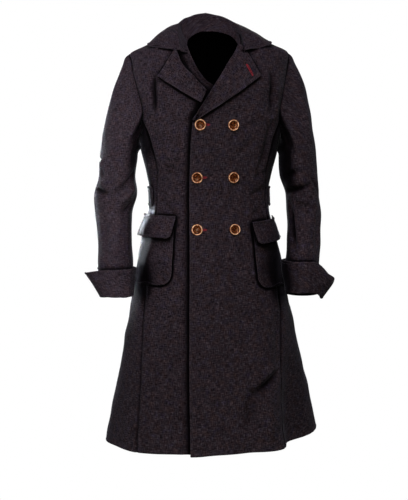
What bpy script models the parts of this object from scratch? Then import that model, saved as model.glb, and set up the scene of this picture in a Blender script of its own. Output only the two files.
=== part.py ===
"""Double-breasted wool overcoat, hollow, as it hangs filled out with no wearer.

Metres, +Z up. The front faces -Y and the wearer's left is +X. The origin is the base of
the neck, midway between the shoulders, where a wearer or a form carries the coat.
"""

import math
from collections import namedtuple

import bmesh
import bpy
import numpy as np
from mathutils import Matrix, Vector

# Driving sizes
WALL = 0.0022
TRIM_WALL = 0.0020
SEAM_GAP = 0.0014
SHOULDER_GAP = 0.0020
BELT_GAP = 0.0012
UNDERLAP_DROP = 0.0037
UNDERLAP_RUN = 0.044
UNDERLAP_CLEAR = 0.011
HEM = -1.057
SHOULDER_TIP = -0.016
ARMPIT = -0.225
NECK_SIDE = 0.045
BACK_NECK_RISE = 0.008
LEFT_SHOULDER_RISE = 0.006
LEFT_RISE_HEIGHTS = (-0.150, -0.020)
LEFT_RISE_ACROSS = (0.060, 0.200)
ARMPIT_CLEAR = 0.0062
SIDE_LEVEL_TOP = -0.320
SLEEVE_START = -0.270
SLEEVE_END = -0.648
BELT_TOP = -0.367
BELT_BOTTOM = -0.418
BELT_END = 74.0
POCKET_WIDTH = 0.150
POCKET_CORNER = 0.030
FLAP_WIDTH = 0.154
FLAP_STAND_OFF = 0.0105
LAPEL_GAP = 0.0001
LAPEL_ROLL = 0.005
LAPEL_LIFT = 0.0015
LAPEL_BELLY = 0.002
BUTTON_RADIUS = 0.0153
BUTTON_HEIGHT = 0.0052
BUTTON_SEAT = 0.0005
BUTTON_SIDES = 16
CLOTH_ROUGHNESS = 0.9
HORN_ROUGHNESS = 0.3

# Horizontal sections of the body, from the hem to the side of the neck
Section = namedtuple("Section", "height half_width front back square")
SECTIONS = (
    Section(-1.057, 0.277, 0.200, 0.214, 2.10),
    Section(-0.950, 0.258, 0.184, 0.192, 2.10),
    Section(-0.820, 0.235, 0.168, 0.170, 2.15),
    Section(-0.685, 0.214, 0.154, 0.150, 2.20),
    Section(-0.575, 0.193, 0.144, 0.136, 2.25),
    Section(-0.488, 0.1755, 0.134, 0.121, 2.30),
    Section(-0.425, 0.1620, 0.126, 0.108, 2.30),
    Section(-0.385, 0.1595, 0.123, 0.105, 2.30),
    Section(-0.337, 0.1670, 0.125, 0.109, 2.30),
    Section(-0.270, 0.184, 0.131, 0.120, 2.30),
    Section(-0.200, 0.197, 0.134, 0.128, 2.30),
    Section(-0.120, 0.206, 0.130, 0.129, 2.25),
    Section(-0.070, 0.211, 0.119, 0.122, 2.20),
    Section(-0.030, 0.214, 0.103, 0.112, 2.10),
    Section(-0.016, 0.212, 0.095, 0.107, 2.05),
    Section(0.005, 0.174, 0.076, 0.096, 2.00),
    Section(0.025, 0.130, 0.050, 0.081, 2.00),
    Section(0.045, 0.079, 0.022, 0.062, 2.00),
)

# Upright folds of the skirt: place, width, reach out and lift at the hem, where they fade
Fold = namedtuple("Fold", "angle half_width reach lift top")
FOLDS = (
    Fold(26, 11, -0.010, 0.000, -0.720),
    Fold(45, 11, 0.003, 0.000, -0.700),
    Fold(69, 13, -0.048, 0.000, -0.690),
    Fold(104, 26, 0.031, 0.014, -0.460),
    Fold(147, 15, -0.022, 0.000, -0.700),
    Fold(168, 10, 0.014, 0.000, -0.650),
    Fold(-28, 13, -0.006, 0.000, -0.760),
    Fold(-52, 13, 0.010, 0.000, -0.760),
    Fold(-76, 12, -0.008, 0.000, -0.720),
    Fold(-102, 18, 0.008, -0.005, -0.680),
    Fold(-142, 14, -0.020, 0.000, -0.700),
    Fold(-166, 10, 0.014, 0.000, -0.650),
)

FOLD_GROWTH = 1.2

# Half opening of the armhole, seen from the coat's axis, from the shoulder tip down
ArmholeRow = namedtuple("ArmholeRow", "fraction half_angle")
ARMHOLE = (
    ArmholeRow(0.00, 0.0),
    ArmholeRow(0.05, 3.5),
    ArmholeRow(0.14, 6.0),
    ArmholeRow(0.28, 9.5),
    ArmholeRow(0.45, 14.0),
    ArmholeRow(0.62, 17.5),
    ArmholeRow(0.78, 19.0),
    ArmholeRow(0.90, 16.0),
    ArmholeRow(0.97, 9.5),
    ArmholeRow(1.00, 0.0),
)

# Seams between front and side, and between side and back: distance from the middle
SeamRow = namedtuple("SeamRow", "height front_seam back_seam")
SEAMS = (
    SeamRow(-1.057, 0.198, 0.200),
    SeamRow(-0.770, 0.187, 0.172),
    SeamRow(-0.640, 0.176, 0.160),
    SeamRow(-0.500, 0.156, 0.138),
    SeamRow(-0.390, 0.145, 0.122),
    SeamRow(-0.330, 0.145, 0.126),
    SeamRow(-0.260, 0.158, 0.145),
    SeamRow(-0.188, 0.1832, 0.1825),
)
SEAM_TOP = -0.188
ARMHOLE_RADIUS = 0.2

# Front edges: closed edge, roll line and neck, as distance across from the middle
EdgeRow = namedtuple("EdgeRow", "height across")
EDGE_LEFT = (
    EdgeRow(-1.057, -0.068),
    EdgeRow(-0.860, -0.068),
    EdgeRow(-0.514, -0.063),
    EdgeRow(-0.370, -0.063),
    EdgeRow(-0.250, -0.060),
    EdgeRow(-0.194, -0.055),
    EdgeRow(-0.012, 0.080),
    EdgeRow(0.005, 0.083),
    EdgeRow(0.025, 0.081),
    EdgeRow(0.045, 0.077),
)
EDGE_RIGHT = (
    EdgeRow(-1.057, 0.042),
    EdgeRow(-0.370, 0.042),
    EdgeRow(-0.240, 0.040),
    EdgeRow(-0.012, -0.084),
    EdgeRow(0.005, -0.084),
    EdgeRow(0.025, -0.081),
    EdgeRow(0.045, -0.077),
)

# Sleeves below the armpit: middle out from the axis, forward, half across, half deep
SleeveRow = namedtuple("SleeveRow", "height out forward half_width half_depth")
SLEEVE_RIGHT = (
    SleeveRow(-0.270, 0.2405, 0.000, 0.0500, 0.0700),
    SleeveRow(-0.337, 0.2480, 0.000, 0.0500, 0.0680),
    SleeveRow(-0.390, 0.2515, 0.002, 0.0575, 0.0650),
    SleeveRow(-0.440, 0.2575, 0.016, 0.0490, 0.0620),
    SleeveRow(-0.510, 0.2555, 0.046, 0.0455, 0.0590),
    SleeveRow(-0.580, 0.2555, 0.082, 0.0450, 0.0540),
    SleeveRow(-0.648, 0.2530, 0.102, 0.0400, 0.0480),
)
SLEEVE_LEFT = (
    SleeveRow(-0.270, 0.2390, 0.000, 0.0500, 0.0700),
    SleeveRow(-0.337, 0.2440, 0.000, 0.0510, 0.0680),
    SleeveRow(-0.390, 0.2540, 0.004, 0.0450, 0.0650),
    SleeveRow(-0.440, 0.2565, 0.018, 0.0455, 0.0620),
    SleeveRow(-0.510, 0.2505, 0.050, 0.0450, 0.0590),
    SleeveRow(-0.580, 0.2405, 0.086, 0.0450, 0.0540),
    SleeveRow(-0.648, 0.2370, 0.106, 0.0410, 0.0480),
)
CapLeave = namedtuple("CapLeave", "out down")
CAP_RIGHT = CapLeave(0.48, 0.74)
CAP_LEFT = CapLeave(0.60, 0.66)
SLEEVE_LEAN = 0.12
SLEEVE_HEAD_OUT = 0.0016
SLEEVE_RADIUS = 0.055
SLEEVE_FRONT_SEAM = 128.0
SLEEVE_BACK_SEAM = 244.0
CAP_SHARES = (0.0, 0.16, 0.34, 0.54, 0.76, 1.0)
SLEEVE_HEIGHTS = (-0.305, -0.340, -0.370, -0.400, -0.440, -0.490, -0.540, -0.600, SLEEVE_END)

# Turned-back cuffs: share of the height, room round the sleeve, flare and drop of the corner
CuffRow = namedtuple("CuffRow", "share room flare drop")
CUFF_RIGHT = (
    CuffRow(0.0, 0.0035, 0.002, 0.004),
    CuffRow(0.5, 0.0065, 0.014, 0.006),
    CuffRow(1.0, 0.0090, 0.027, 0.013),
)
CUFF_LEFT = (
    CuffRow(0.0, 0.0035, 0.012, 0.018),
    CuffRow(0.5, 0.0070, 0.038, 0.014),
    CuffRow(1.0, 0.0095, 0.015, 0.046),
)
CUFF_TOP_RIGHT = -0.578
CUFF_TOP_LEFT = -0.562
CUFF_BOTTOM_RIGHT = -0.646
CUFF_BOTTOM_LEFT = -0.641
CUFF_SLIT = -8.0
CUFF_SLIT_WIDTH = 6.0
CUFF_FLARE_RUN = 75.0
CUFF_SHARES = (0.0, 0.25, 0.5, 0.75, 1.0)

# Collar from the middle of the back to the notch: neck seam, fold, and on the body the free edge
CollarRow = namedtuple("CollarRow", "share seam fold edge_angle edge_height")
COLLAR = (
    CollarRow(0.00, (0.0000, 0.064, 0.054), (0.000, 0.086, 0.100), 180.0, -0.006),
    CollarRow(0.20, (0.0340, 0.058, 0.053), (0.036, 0.080, 0.095), 152.0, -0.005),
    CollarRow(0.40, (0.0620, 0.034, 0.050), (0.067, 0.054, 0.080), 127.0, 0.000),
    CollarRow(0.60, (0.0720, 0.003, 0.046), (0.084, 0.016, 0.061), 107.0, 0.007),
    CollarRow(0.80, (0.0755, -0.036, 0.024), (0.089, -0.034, 0.041), 91.0, 0.012),
    CollarRow(1.00, (0.0765, -0.080, -0.002), (0.086, -0.086, 0.006), 75.0, 0.007),
)
COLLAR_LAY = 0.0008
COLLAR_BELLY = 0.010
COLLAR_BELLY_TAPER = 0.45
COLLAR_MIDDLE = (0.0, 0.02, 0.02)
COLLAR_LEAN = 0.7
STAND_REACH = 0.97
STAND_MIDDLE = (0.0, 0.01, 0.0)
STAND_INSET = 0.0042
STAND_TOP_DROP = 0.0034
STAND_FOOT_INSET = 0.001
STAND_FOOT_RISE = 0.0006
LEVEL = (1.0, 1.0, 0.0)

# Lapels: bottom and top of the roll line, tip and foot, as distance across and height
Lapel = namedtuple("Lapel", "low high tip foot")
LAPEL_LEFT = Lapel((-0.053, -0.190), (0.084, -0.010), (0.123, -0.077), (-0.046, -0.190))
LAPEL_RIGHT = Lapel((-0.021, -0.128), (-0.087, -0.010), (-0.141, -0.078), (-0.034, -0.145))
NECK_FACING_TOP = (-0.078, 0.000)
NECK_FACING_LOW = (-0.030, -0.122)
NECK_FACING_WIDTH = 0.024
NECK_FACING_LOW_WIDTH = 0.008
NECK_FACING_DROP = 0.016
NECK_FACING_DEPTH = 0.0024
NECK_FACING_TILT = 0.004

# Patch pockets and flaps: inner edge across at top and bottom, heights, gap to the cloth under it
Patch = namedtuple("Patch", "top_in bottom_in top bottom outer_rise lay")
POCKET_RIGHT = Patch(-0.102, -0.113, -0.464, -0.622, 0.000, 0.0013)
POCKET_LEFT = Patch(0.103, 0.118, -0.474, -0.632, 0.006, 0.0020)
FLAP_RIGHT = Patch(-0.097, -0.109, -0.442, -0.499, 0.000, 0.0016)
FLAP_LEFT = Patch(0.100, 0.112, -0.459, -0.516, 0.009, 0.0018)

# Buttons of the front, as distance across and height
ButtonRow = namedtuple("ButtonRow", "name across height")
BUTTONS = (
    ButtonRow("button_top_right", -0.036, -0.203),
    ButtonRow("button_top_left", 0.050, -0.204),
    ButtonRow("button_middle_right", -0.043, -0.340),
    ButtonRow("button_middle_left", 0.052, -0.340),
    ButtonRow("button_bottom_right", -0.044, -0.476),
    ButtonRow("button_bottom_left", 0.054, -0.476),
)

# Turned profile of a button from its middle, over the rim, down to its flat back
ProfileRow = namedtuple("ProfileRow", "radius_share height_share")
BUTTON_PROFILE = (
    ProfileRow(0.00, 0.55),
    ProfileRow(0.52, 0.58),
    ProfileRow(0.68, 0.84),
    ProfileRow(0.80, 1.00),
    ProfileRow(0.93, 0.92),
    ProfileRow(1.00, 0.55),
    ProfileRow(0.84, 0.00),
    ProfileRow(0.00, 0.00),
)

# Heights of the rows of the body's panels
BODY_HEIGHTS = (
    -1.057, -0.985, -0.910, -0.835, -0.760, -0.690, -0.622, -0.565, -0.510, -0.459, -0.418,
    -0.3925, -0.367, -0.320, -0.270, -0.228, -0.188, -0.166, -0.145, -0.105, -0.070, -0.040,
    -0.016, 0.005, 0.022, 0.037,
)

WOOL = (0.020, 0.0155, 0.0185, 1.0)
HORN = (0.045, 0.018, 0.010, 1.0)

# Steps of the numeric searches
NORMAL_TURN = 0.004
NORMAL_LIFT = 0.0015
HALVINGS = 40
ARC_REACH = 2.4
ARC_STEPS = 400
ARMHOLE_STEPS = 80
LEVEL_PASSES = 3


def smooth_curve(xs, ys, x):
    """Smooth curve through table points that never overshoots them."""
    xs = np.asarray(xs, float)
    ys = np.asarray(ys, float)
    step = np.diff(xs)
    slope = np.diff(ys) / step
    rate = np.zeros_like(ys)
    same = slope[:-1] * slope[1:] > 0
    near = np.where(same, slope[:-1], 1.0)
    far = np.where(same, slope[1:], 1.0)
    rate[1:-1] = np.where(same, 2.0 * near * far / (near + far), 0.0)
    rate[0] = slope[0]
    rate[-1] = slope[-1]
    x = np.clip(x, xs[0], xs[-1])
    k = np.clip(np.searchsorted(xs, x) - 1, 0, len(xs) - 2)
    t = (x - xs[k]) / step[k]
    rest = 1.0 - t
    value = ys[k] * (1.0 + 2.0 * t) * rest * rest + ys[k + 1] * t * t * (3.0 - 2.0 * t)
    return value + step[k] * t * rest * (rate[k] * rest - rate[k + 1] * t)


def column(table, name):
    return [getattr(row, name) for row in table]


def ease(value, low, high):
    """0 below low, 1 above high, soft between."""
    t = np.clip((np.asarray(value, float) - low) / (high - low), 0.0, 1.0)
    return t * t * (3.0 - 2.0 * t)


def body_radius(angle, height, folded=True):
    """Distance from the axis to the outer face at an angle from the front, in radians."""
    heights = column(SECTIONS, "height")
    half_width = smooth_curve(heights, column(SECTIONS, "half_width"), height)
    front = smooth_curve(heights, column(SECTIONS, "front"), height)
    back = smooth_curve(heights, column(SECTIONS, "back"), height)
    square = smooth_curve(heights, column(SECTIONS, "square"), height)
    depth = np.where(np.cos(angle) > 0, front, back)
    across = np.abs(np.sin(angle)) / half_width
    along = np.abs(np.cos(angle)) / depth
    radius = (across**square + along**square) ** (-1.0 / square)
    if folded:
        radius = radius + fold_sum(angle, height, "reach")
    return radius


def fold_sum(angle, height, name):
    """What the skirt's folds add up to at this place, growing from where each one fades."""
    total = 0.0
    for fold in FOLDS:
        turn = (np.degrees(angle) - fold.angle + 180.0) % 360.0 - 180.0
        shape = np.exp(-((turn / fold.half_width) ** 2))
        grown = (1.0 - ease(height, HEM, fold.top)) ** FOLD_GROWTH
        total = total + getattr(fold, name) * shape * grown
    return total


def body_place(angle, height):
    radius = body_radius(angle, height)
    rise = BACK_NECK_RISE * ease(height, SHOULDER_TIP, NECK_SIDE) * np.clip(-np.cos(angle), 0, 1)
    across = radius * np.sin(angle)
    raised = ease(height, *LEFT_RISE_HEIGHTS) * ease(across, *LEFT_RISE_ACROSS)
    rise = rise + LEFT_SHOULDER_RISE * raised
    rise = rise + fold_sum(angle, height, "lift")
    return np.stack((across, -radius * np.cos(angle), height + rise), -1)


def body_normal(angle, height):
    turn = NORMAL_TURN
    lift = NORMAL_LIFT
    across = body_place(angle + turn, height) - body_place(angle - turn, height)
    up = body_place(angle, height + lift) - body_place(angle, height - lift)
    normal = np.cross(across, up)
    return normal / np.linalg.norm(normal, axis=-1, keepdims=True)


def body(angle, height, out=0.0):
    """Point on the coat's outer face, moved out along its normal."""
    angle, height, out = np.broadcast_arrays(angle, height, out)
    return body_place(angle, height) + body_normal(angle, height) * out[..., None]


def angle_at(across, height, front=True):
    """Angle of the point of the body's front or back that is this far across."""
    across, height = np.broadcast_arrays(np.asarray(across, float), np.asarray(height, float))
    low = np.zeros(across.shape)
    high = np.full(across.shape, math.pi / 2)
    reach = np.abs(across)
    for _ in range(HALVINGS):
        middle = (low + high) / 2
        turned = middle if front else math.pi - middle
        far = body_radius(turned, height, folded=False) * np.sin(middle) > reach
        high = np.where(far, middle, high)
        low = np.where(far, low, middle)
    angle = middle if front else math.pi - middle
    return np.sign(across) * angle


def angle_along(start, height, arc, sign):
    """Angle reached from a start angle after going this far round the body."""
    angles = start + sign * np.linspace(0.0, ARC_REACH, ARC_STEPS)
    places = body_place(angles, np.full(angles.shape, height))
    steps = np.linalg.norm(np.diff(places, axis=0), axis=1)
    gone = np.concatenate(((0.0,), np.cumsum(steps)))
    return np.interp(arc, gone, angles)


def armhole_half_angle(height):
    fraction = (SHOULDER_TIP - height) / (SHOULDER_TIP - ARMPIT)
    half = smooth_curve(column(ARMHOLE, "fraction"), column(ARMHOLE, "half_angle"), fraction)
    return np.radians(half)


def armhole_floor(angle):
    """Height of the lower armhole above this angle of the side."""
    heights = np.linspace(ARMPIT, SEAM_TOP, ARMHOLE_STEPS)
    return np.interp(np.abs(angle - math.pi / 2), armhole_half_angle(heights), heights)


def side_limit(height, front, inset):
    """Angle where a front or back panel ends: side seam, armhole or shoulder seam."""
    if height >= SHOULDER_TIP:
        inset = inset * SHOULDER_GAP / SEAM_GAP
    turn = inset / body_radius(math.pi / 2, height, folded=False)
    if height <= SEAM_TOP:
        name = "front_seam" if front else "back_seam"
        across = smooth_curve(column(SEAMS, "height"), column(SEAMS, name), height)
        seam = angle_at(across, height, front)
    elif height < SHOULDER_TIP:
        half = armhole_half_angle(height)
        seam = math.pi / 2 - half if front else math.pi / 2 + half
    else:
        seam = math.pi / 2
    return seam - turn if front else seam + turn


def clear_scene():
    for item in list(bpy.data.objects):
        bpy.data.objects.remove(item, do_unlink=True)
    for group in list(bpy.data.collections):
        bpy.data.collections.remove(group)


def make_material(name, colour, roughness):
    material = bpy.data.materials.new(name)
    material.use_nodes = True
    shader = material.node_tree.nodes["Principled BSDF"]
    shader.inputs["Base Color"].default_value = colour
    shader.inputs["Roughness"].default_value = roughness
    material.diffuse_color = colour
    return material


def add_wall(name, rows, thickness, flip=False):
    """Cloth wall on a grid of points: its face is the grid and it thickens inward."""
    grid = np.asarray(rows, float)
    tall, wide = grid.shape[:2]
    mesh = bpy.data.meshes.new(name)
    work = bmesh.new()
    bmesh.ops.create_grid(work, x_segments=wide - 1, y_segments=tall - 1, size=1.0)
    for vert in work.verts:
        across = round((vert.co.x + 1.0) / 2.0 * (wide - 1))
        up = round((vert.co.y + 1.0) / 2.0 * (tall - 1))
        vert.co = Vector(grid[up, across])
    if flip:
        bmesh.ops.reverse_faces(work, faces=work.faces)
    work.to_mesh(mesh)
    work.free()
    wall = bpy.data.objects.new(name, mesh)
    mesh.materials.append(make_material("cloth_" + name, WOOL, CLOTH_ROUGHNESS))
    COAT.objects.link(wall)
    solid = wall.modifiers.new("wall", "SOLIDIFY")
    solid.thickness = thickness
    solid.offset = -1.0
    return wall


def front_panel(name, sign, edge, columns, under):
    """Front from its closed edge, roll line and neck to the side seam and armhole."""
    rows = []
    heights = column(edge, "height")
    for height in BODY_HEIGHTS:
        limit = sign * side_limit(height, True, SEAM_GAP / 2)
        inner = angle_at(np.interp(height, heights, column(edge, "across")), height)
        angles = np.linspace(inner, limit, columns)
        if sign < 0:
            angles = angles[::-1]
        level = np.full(columns, height)
        drop = np.zeros(columns)
        if under:
            across = body_place(angles, level)[:, 0]
            lap = np.interp(height, column(EDGE_LEFT, "height"), column(EDGE_LEFT, "across"))
            drop = -UNDERLAP_DROP * ease(across, lap - UNDERLAP_RUN, lap - UNDERLAP_CLEAR)
        rows.append(body(angles, level, drop))
    add_wall(name, rows, WALL)


def side_panel(name, sign, columns):
    """Side from hem to the lower armhole, between the front and the back seam."""
    below = [height for height in BODY_HEIGHTS if height < SEAM_TOP]
    rows = []
    for level in below + [SEAM_TOP]:
        share = (level - SIDE_LEVEL_TOP) / (SEAM_TOP - SIDE_LEVEL_TOP)
        heights = np.full(columns, level)
        for _ in range(LEVEL_PASSES):
            start = np.array([side_limit(h, True, -SEAM_GAP / 2) for h in heights])
            stop = np.array([side_limit(h, False, -SEAM_GAP / 2) for h in heights])
            angles = start + (stop - start) * np.linspace(0.0, 1.0, columns)
            top = armhole_floor(angles) - ARMPIT_CLEAR
            heights = np.full(columns, level)
            if level > SIDE_LEVEL_TOP:
                heights = SIDE_LEVEL_TOP + share * (top - SIDE_LEVEL_TOP)
        if sign < 0:
            angles = -angles[::-1]
            heights = heights[::-1]
        rows.append(body(angles, heights))
    add_wall(name, rows, WALL)


def back_panel(name, sign, columns):
    """Half back from the middle seam to the side seam, armhole and shoulder seam."""
    rows = []
    for height in BODY_HEIGHTS + (NECK_SIDE,):
        limit = side_limit(height, False, SEAM_GAP / 2)
        middle = math.pi - SEAM_GAP / 2 / body_radius(math.pi, height, folded=False)
        angles = np.linspace(limit, middle, columns)
        if sign < 0:
            angles = -angles[::-1]
        rows.append(body(angles, np.full(columns, height)))
    add_wall(name, rows, WALL)


def sleeve_ring(table, sign, height, turn):
    """Level ring of a sleeve below the armpit, at turns from its outer side."""
    heights = column(table, "height")[::-1]
    out, forward, half_width, half_depth = (
        smooth_curve(heights, column(table, name)[::-1], height)
        for name in ("out", "forward", "half_width", "half_depth")
    )
    across = sign * (out + half_width * np.cos(turn))
    return np.stack((across, -forward - half_depth * np.sin(turn), np.full(turn.shape, height)), -1)


def armhole_ring(sign, turn):
    """Armhole curve at turns from the shoulder tip, by the front to the armpit and back."""
    fraction = (1.0 - np.cos(turn)) / 2.0
    height = SHOULDER_TIP + (ARMPIT - SHOULDER_TIP) * fraction
    half = armhole_half_angle(height) - SEAM_GAP / 2 / ARMHOLE_RADIUS
    half = np.maximum(half, 0.0)
    angle = np.where(np.sin(turn) >= 0, math.pi / 2 - half, math.pi / 2 + half)
    return body(sign * angle, height, SLEEVE_HEAD_OUT)


def sleeve_cap(table, sign, cap, turn, share):
    """Sleeve between the armhole and its first level ring."""
    start = armhole_ring(sign, turn)
    stop = sleeve_ring(table, sign, SLEEVE_START, turn)
    length = np.linalg.norm(stop - start, axis=-1, keepdims=True)
    top = (np.cos(turn / 2) ** 2)[..., None]
    head = np.array((sign * cap.out, 0.0, -cap.down))
    arrive = np.array((sign * SLEEVE_LEAN, 0.0, -1.0))
    leave = top * head + (1 - top) * arrive
    t = share
    value = start * (1 + 2 * t) * (1 - t) ** 2 + stop * t * t * (3 - 2 * t)
    return value + length * (leave * t * (1 - t) ** 2 - arrive * t * t * (1 - t))


def sleeve_panel(name, table, sign, cap, start, stop, columns):
    inset = math.degrees(SEAM_GAP / 2 / SLEEVE_RADIUS)
    turn = np.radians(np.linspace(start + inset, stop - inset, columns))
    rows = [sleeve_cap(table, sign, cap, turn, share) for share in CAP_SHARES]
    for height in SLEEVE_HEIGHTS:
        rows.append(sleeve_ring(table, sign, height, turn))
    add_wall(name, rows[::-1], WALL, flip=sign < 0)


def cuff(name, table, sleeve, sign, bottom, top, columns):
    """Turned-back cuff: an open band round the sleeve's end with a flared corner."""
    turn = np.linspace(CUFF_SLIT, CUFF_SLIT + 360.0 - CUFF_SLIT_WIDTH, columns)
    near = 1.0 - ease(turn - CUFF_SLIT, 0.0, CUFF_FLARE_RUN)
    rows = []
    for share in CUFF_SHARES:
        height = bottom + (top - bottom) * share
        room, flare, drop = (
            smooth_curve(column(table, "share"), column(table, item), share)
            for item in ("room", "flare", "drop")
        )
        ring = sleeve_ring(sleeve, sign, height, np.radians(turn))
        middle = ring.mean(axis=0)
        away = (ring - middle) * np.array(LEVEL)
        away = away / np.linalg.norm(away, axis=-1, keepdims=True)
        ring = ring + away * room
        ring[:, 0] += sign * flare * near
        ring[:, 2] -= drop * near
        rows.append(ring)
    add_wall(name, rows, TRIM_WALL, flip=sign < 0)


def collar_line(name, share):
    """Line of the collar all round, from the right notch by the back to the left notch."""
    shares = column(COLLAR, "share")
    points = column(COLLAR, name)
    reach = np.abs(share)
    across = smooth_curve(shares, [p[0] for p in points], reach) * np.sign(share)
    deep = smooth_curve(shares, [p[1] for p in points], reach)
    tall = smooth_curve(shares, [p[2] for p in points], reach)
    return np.stack((across, deep, tall), -1)


def collar_fall(columns, tall):
    """Falling leaf from the fold to the free edge, with a soft belly."""
    share = np.linspace(1.0, -1.0, columns)
    fold = collar_line("fold", share)
    shares = column(COLLAR, "share")
    turn = smooth_curve(shares, column(COLLAR, "edge_angle"), np.abs(share))
    level = smooth_curve(shares, column(COLLAR, "edge_height"), np.abs(share))
    edge = body(np.radians(turn) * np.where(share < 0, -1.0, 1.0), level, COLLAR_LAY + TRIM_WALL)
    away = (edge - np.array(COLLAR_MIDDLE)) * np.array(LEVEL)
    away = away / np.linalg.norm(away, axis=-1, keepdims=True)
    lift = (away + np.array((0.0, 0.0, 1.0))) * COLLAR_LEAN
    rows = []
    for down in np.linspace(1.0, 0.0, tall):
        belly = COLLAR_BELLY * 4.0 * down * (1.0 - down) * (1.0 - COLLAR_BELLY_TAPER * down)
        rows.append(fold + (edge - fold) * down + lift * belly)
    add_wall("collar_fall", rows, TRIM_WALL)


def collar_stand(columns, tall):
    """Stand inside the fold, seen from the front at the back of the neck."""
    share = np.linspace(STAND_REACH, -STAND_REACH, columns)
    seam = collar_line("seam", share)
    fold = collar_line("fold", share)
    away = fold * np.array(LEVEL) - np.array(STAND_MIDDLE)
    away = away / np.linalg.norm(away, axis=-1, keepdims=True)
    top = fold - away * STAND_INSET - np.array((0.0, 0.0, STAND_TOP_DROP))
    low = seam - away * STAND_FOOT_INSET + np.array((0.0, 0.0, STAND_FOOT_RISE))
    rows = [low + (top - low) * up for up in np.linspace(0.0, 1.0, tall)]
    add_wall("collar_stand", rows, TRIM_WALL)


def lapel(name, shape, tall, columns):
    """Lapel turned out along its roll line and lying on its front."""
    low = np.array(shape.low)
    high = np.array(shape.high)
    tip = np.array(shape.tip)
    sign = math.copysign(1.0, shape.tip[0])
    foot = np.array(shape.foot)
    rows = []
    for up in np.linspace(0.0, 1.0, tall):
        roll = low + (high - low) * up
        free = foot + (tip - foot) * up
        free = free - np.array((0.0, LAPEL_BELLY)) * math.sin(math.pi * up)
        across = np.linspace(0.0, 1.0, columns)
        flat = roll + (free - roll) * across[:, None]
        angles = angle_at(flat[:, 0], flat[:, 1])
        away = LAPEL_GAP + TRIM_WALL + LAPEL_ROLL * (1 - across) ** 3 + LAPEL_LIFT * across**2
        points = body(angles, flat[:, 1], away)
        rows.append(points if sign > 0 else points[::-1])
    add_wall(name, rows, TRIM_WALL)


def neck_facing(tall, columns):
    """Strip of the right front's facing that shows inside the neck."""
    top = np.array(NECK_FACING_TOP)
    low = np.array(NECK_FACING_LOW)
    rows = []
    for up in np.linspace(0.0, 1.0, tall):
        start = low + (top - low) * up
        width = NECK_FACING_LOW_WIDTH + (NECK_FACING_WIDTH - NECK_FACING_LOW_WIDTH) * up
        across = np.linspace(0.0, 1.0, columns)
        angle = angle_at(start[0], start[1])
        first = body(angle, start[1], -WALL - NECK_FACING_DEPTH)
        points = first + across[:, None] * np.array((width, 0.0, NECK_FACING_TILT))
        points[:, 1] += NECK_FACING_DROP * across**1.5 * width / NECK_FACING_WIDTH
        rows.append(points)
    add_wall("neck_facing_right", rows, TRIM_WALL)


def patch_rows(shape, width, tall, columns, away, corner):
    """Rows of a piece lying on the front and side, from its inner edge round to the side."""
    sign = math.copysign(1.0, shape.top_in)
    rows = []
    for up in np.linspace(0.0, 1.0, tall):
        height = shape.bottom + (shape.top - shape.bottom) * up
        inner = shape.bottom_in + (shape.top_in - shape.bottom_in) * up
        start = float(angle_at(inner, height))
        rise = height - shape.bottom
        cut = 0.0
        if rise < corner:
            cut = corner - math.sqrt(max(corner**2 - (corner - rise) ** 2, 0.0))
        arc = np.linspace(cut, width - cut, columns)
        angles = angle_along(start, height, arc, sign)
        level = height + shape.outer_rise * np.linspace(0.0, 1.0, columns)
        points = body(angles, level, away(up))
        rows.append(points if sign > 0 else points[::-1])
    return rows


def pocket(name, shape, tall, columns):
    """Patch pocket with rounded lower corners, flat on the front and side."""
    def away(up):
        return shape.lay + TRIM_WALL

    rows = patch_rows(shape, POCKET_WIDTH, tall, columns, away, POCKET_CORNER)
    add_wall(name, rows, TRIM_WALL)


def flap(name, shape, tall, columns):
    """Pocket flap, sewn along its top and standing off at its free edge."""
    def away(up):
        return shape.lay + TRIM_WALL + FLAP_STAND_OFF * (1.0 - up)

    rows = patch_rows(shape, FLAP_WIDTH, tall, columns, away, 0.0)
    add_wall(name, rows, TRIM_WALL)


def half_belt(columns):
    """Belt across the back at the waist, its ends at the side seams."""
    angles = np.radians(np.linspace(BELT_END, 360.0 - BELT_END, columns))
    rows = []
    for height in (BELT_BOTTOM, (BELT_BOTTOM + BELT_TOP) / 2, BELT_TOP):
        rows.append(body(angles, np.full(columns, height), BELT_GAP + TRIM_WALL))
    add_wall("half_belt", rows, TRIM_WALL)


def button(row):
    """Turned button seated on the left front."""
    angle = float(angle_at(row.across, row.height))
    seat = body(angle, row.height, BUTTON_SEAT)
    normal = body_normal(np.array(angle), np.array(row.height))
    mesh = bpy.data.meshes.new(row.name)
    points = []
    for place in BUTTON_PROFILE:
        points.append((place.radius_share * BUTTON_RADIUS, 0.0, place.height_share * BUTTON_HEIGHT))
    mesh.from_pydata(points, [(i, i + 1) for i in range(len(points) - 1)], [])
    disc = bpy.data.objects.new(row.name, mesh)
    mesh.materials.append(make_material("horn_" + row.name, HORN, HORN_ROUGHNESS))
    COAT.objects.link(disc)
    turned = disc.modifiers.new("turned", "SCREW")
    turned.axis = "Z"
    turned.steps = BUTTON_SIDES
    turned.render_steps = BUTTON_SIDES
    turned.use_merge_vertices = True
    turned.merge_threshold = 0.00005
    turn = Vector((0.0, 0.0, 1.0)).rotation_difference(Vector(normal))
    disc.matrix_world = Matrix.Translation(Vector(seat)) @ turn.to_matrix().to_4x4()


clear_scene()
COAT = bpy.data.collections.new("overcoat")
bpy.context.scene.collection.children.link(COAT)

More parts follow.
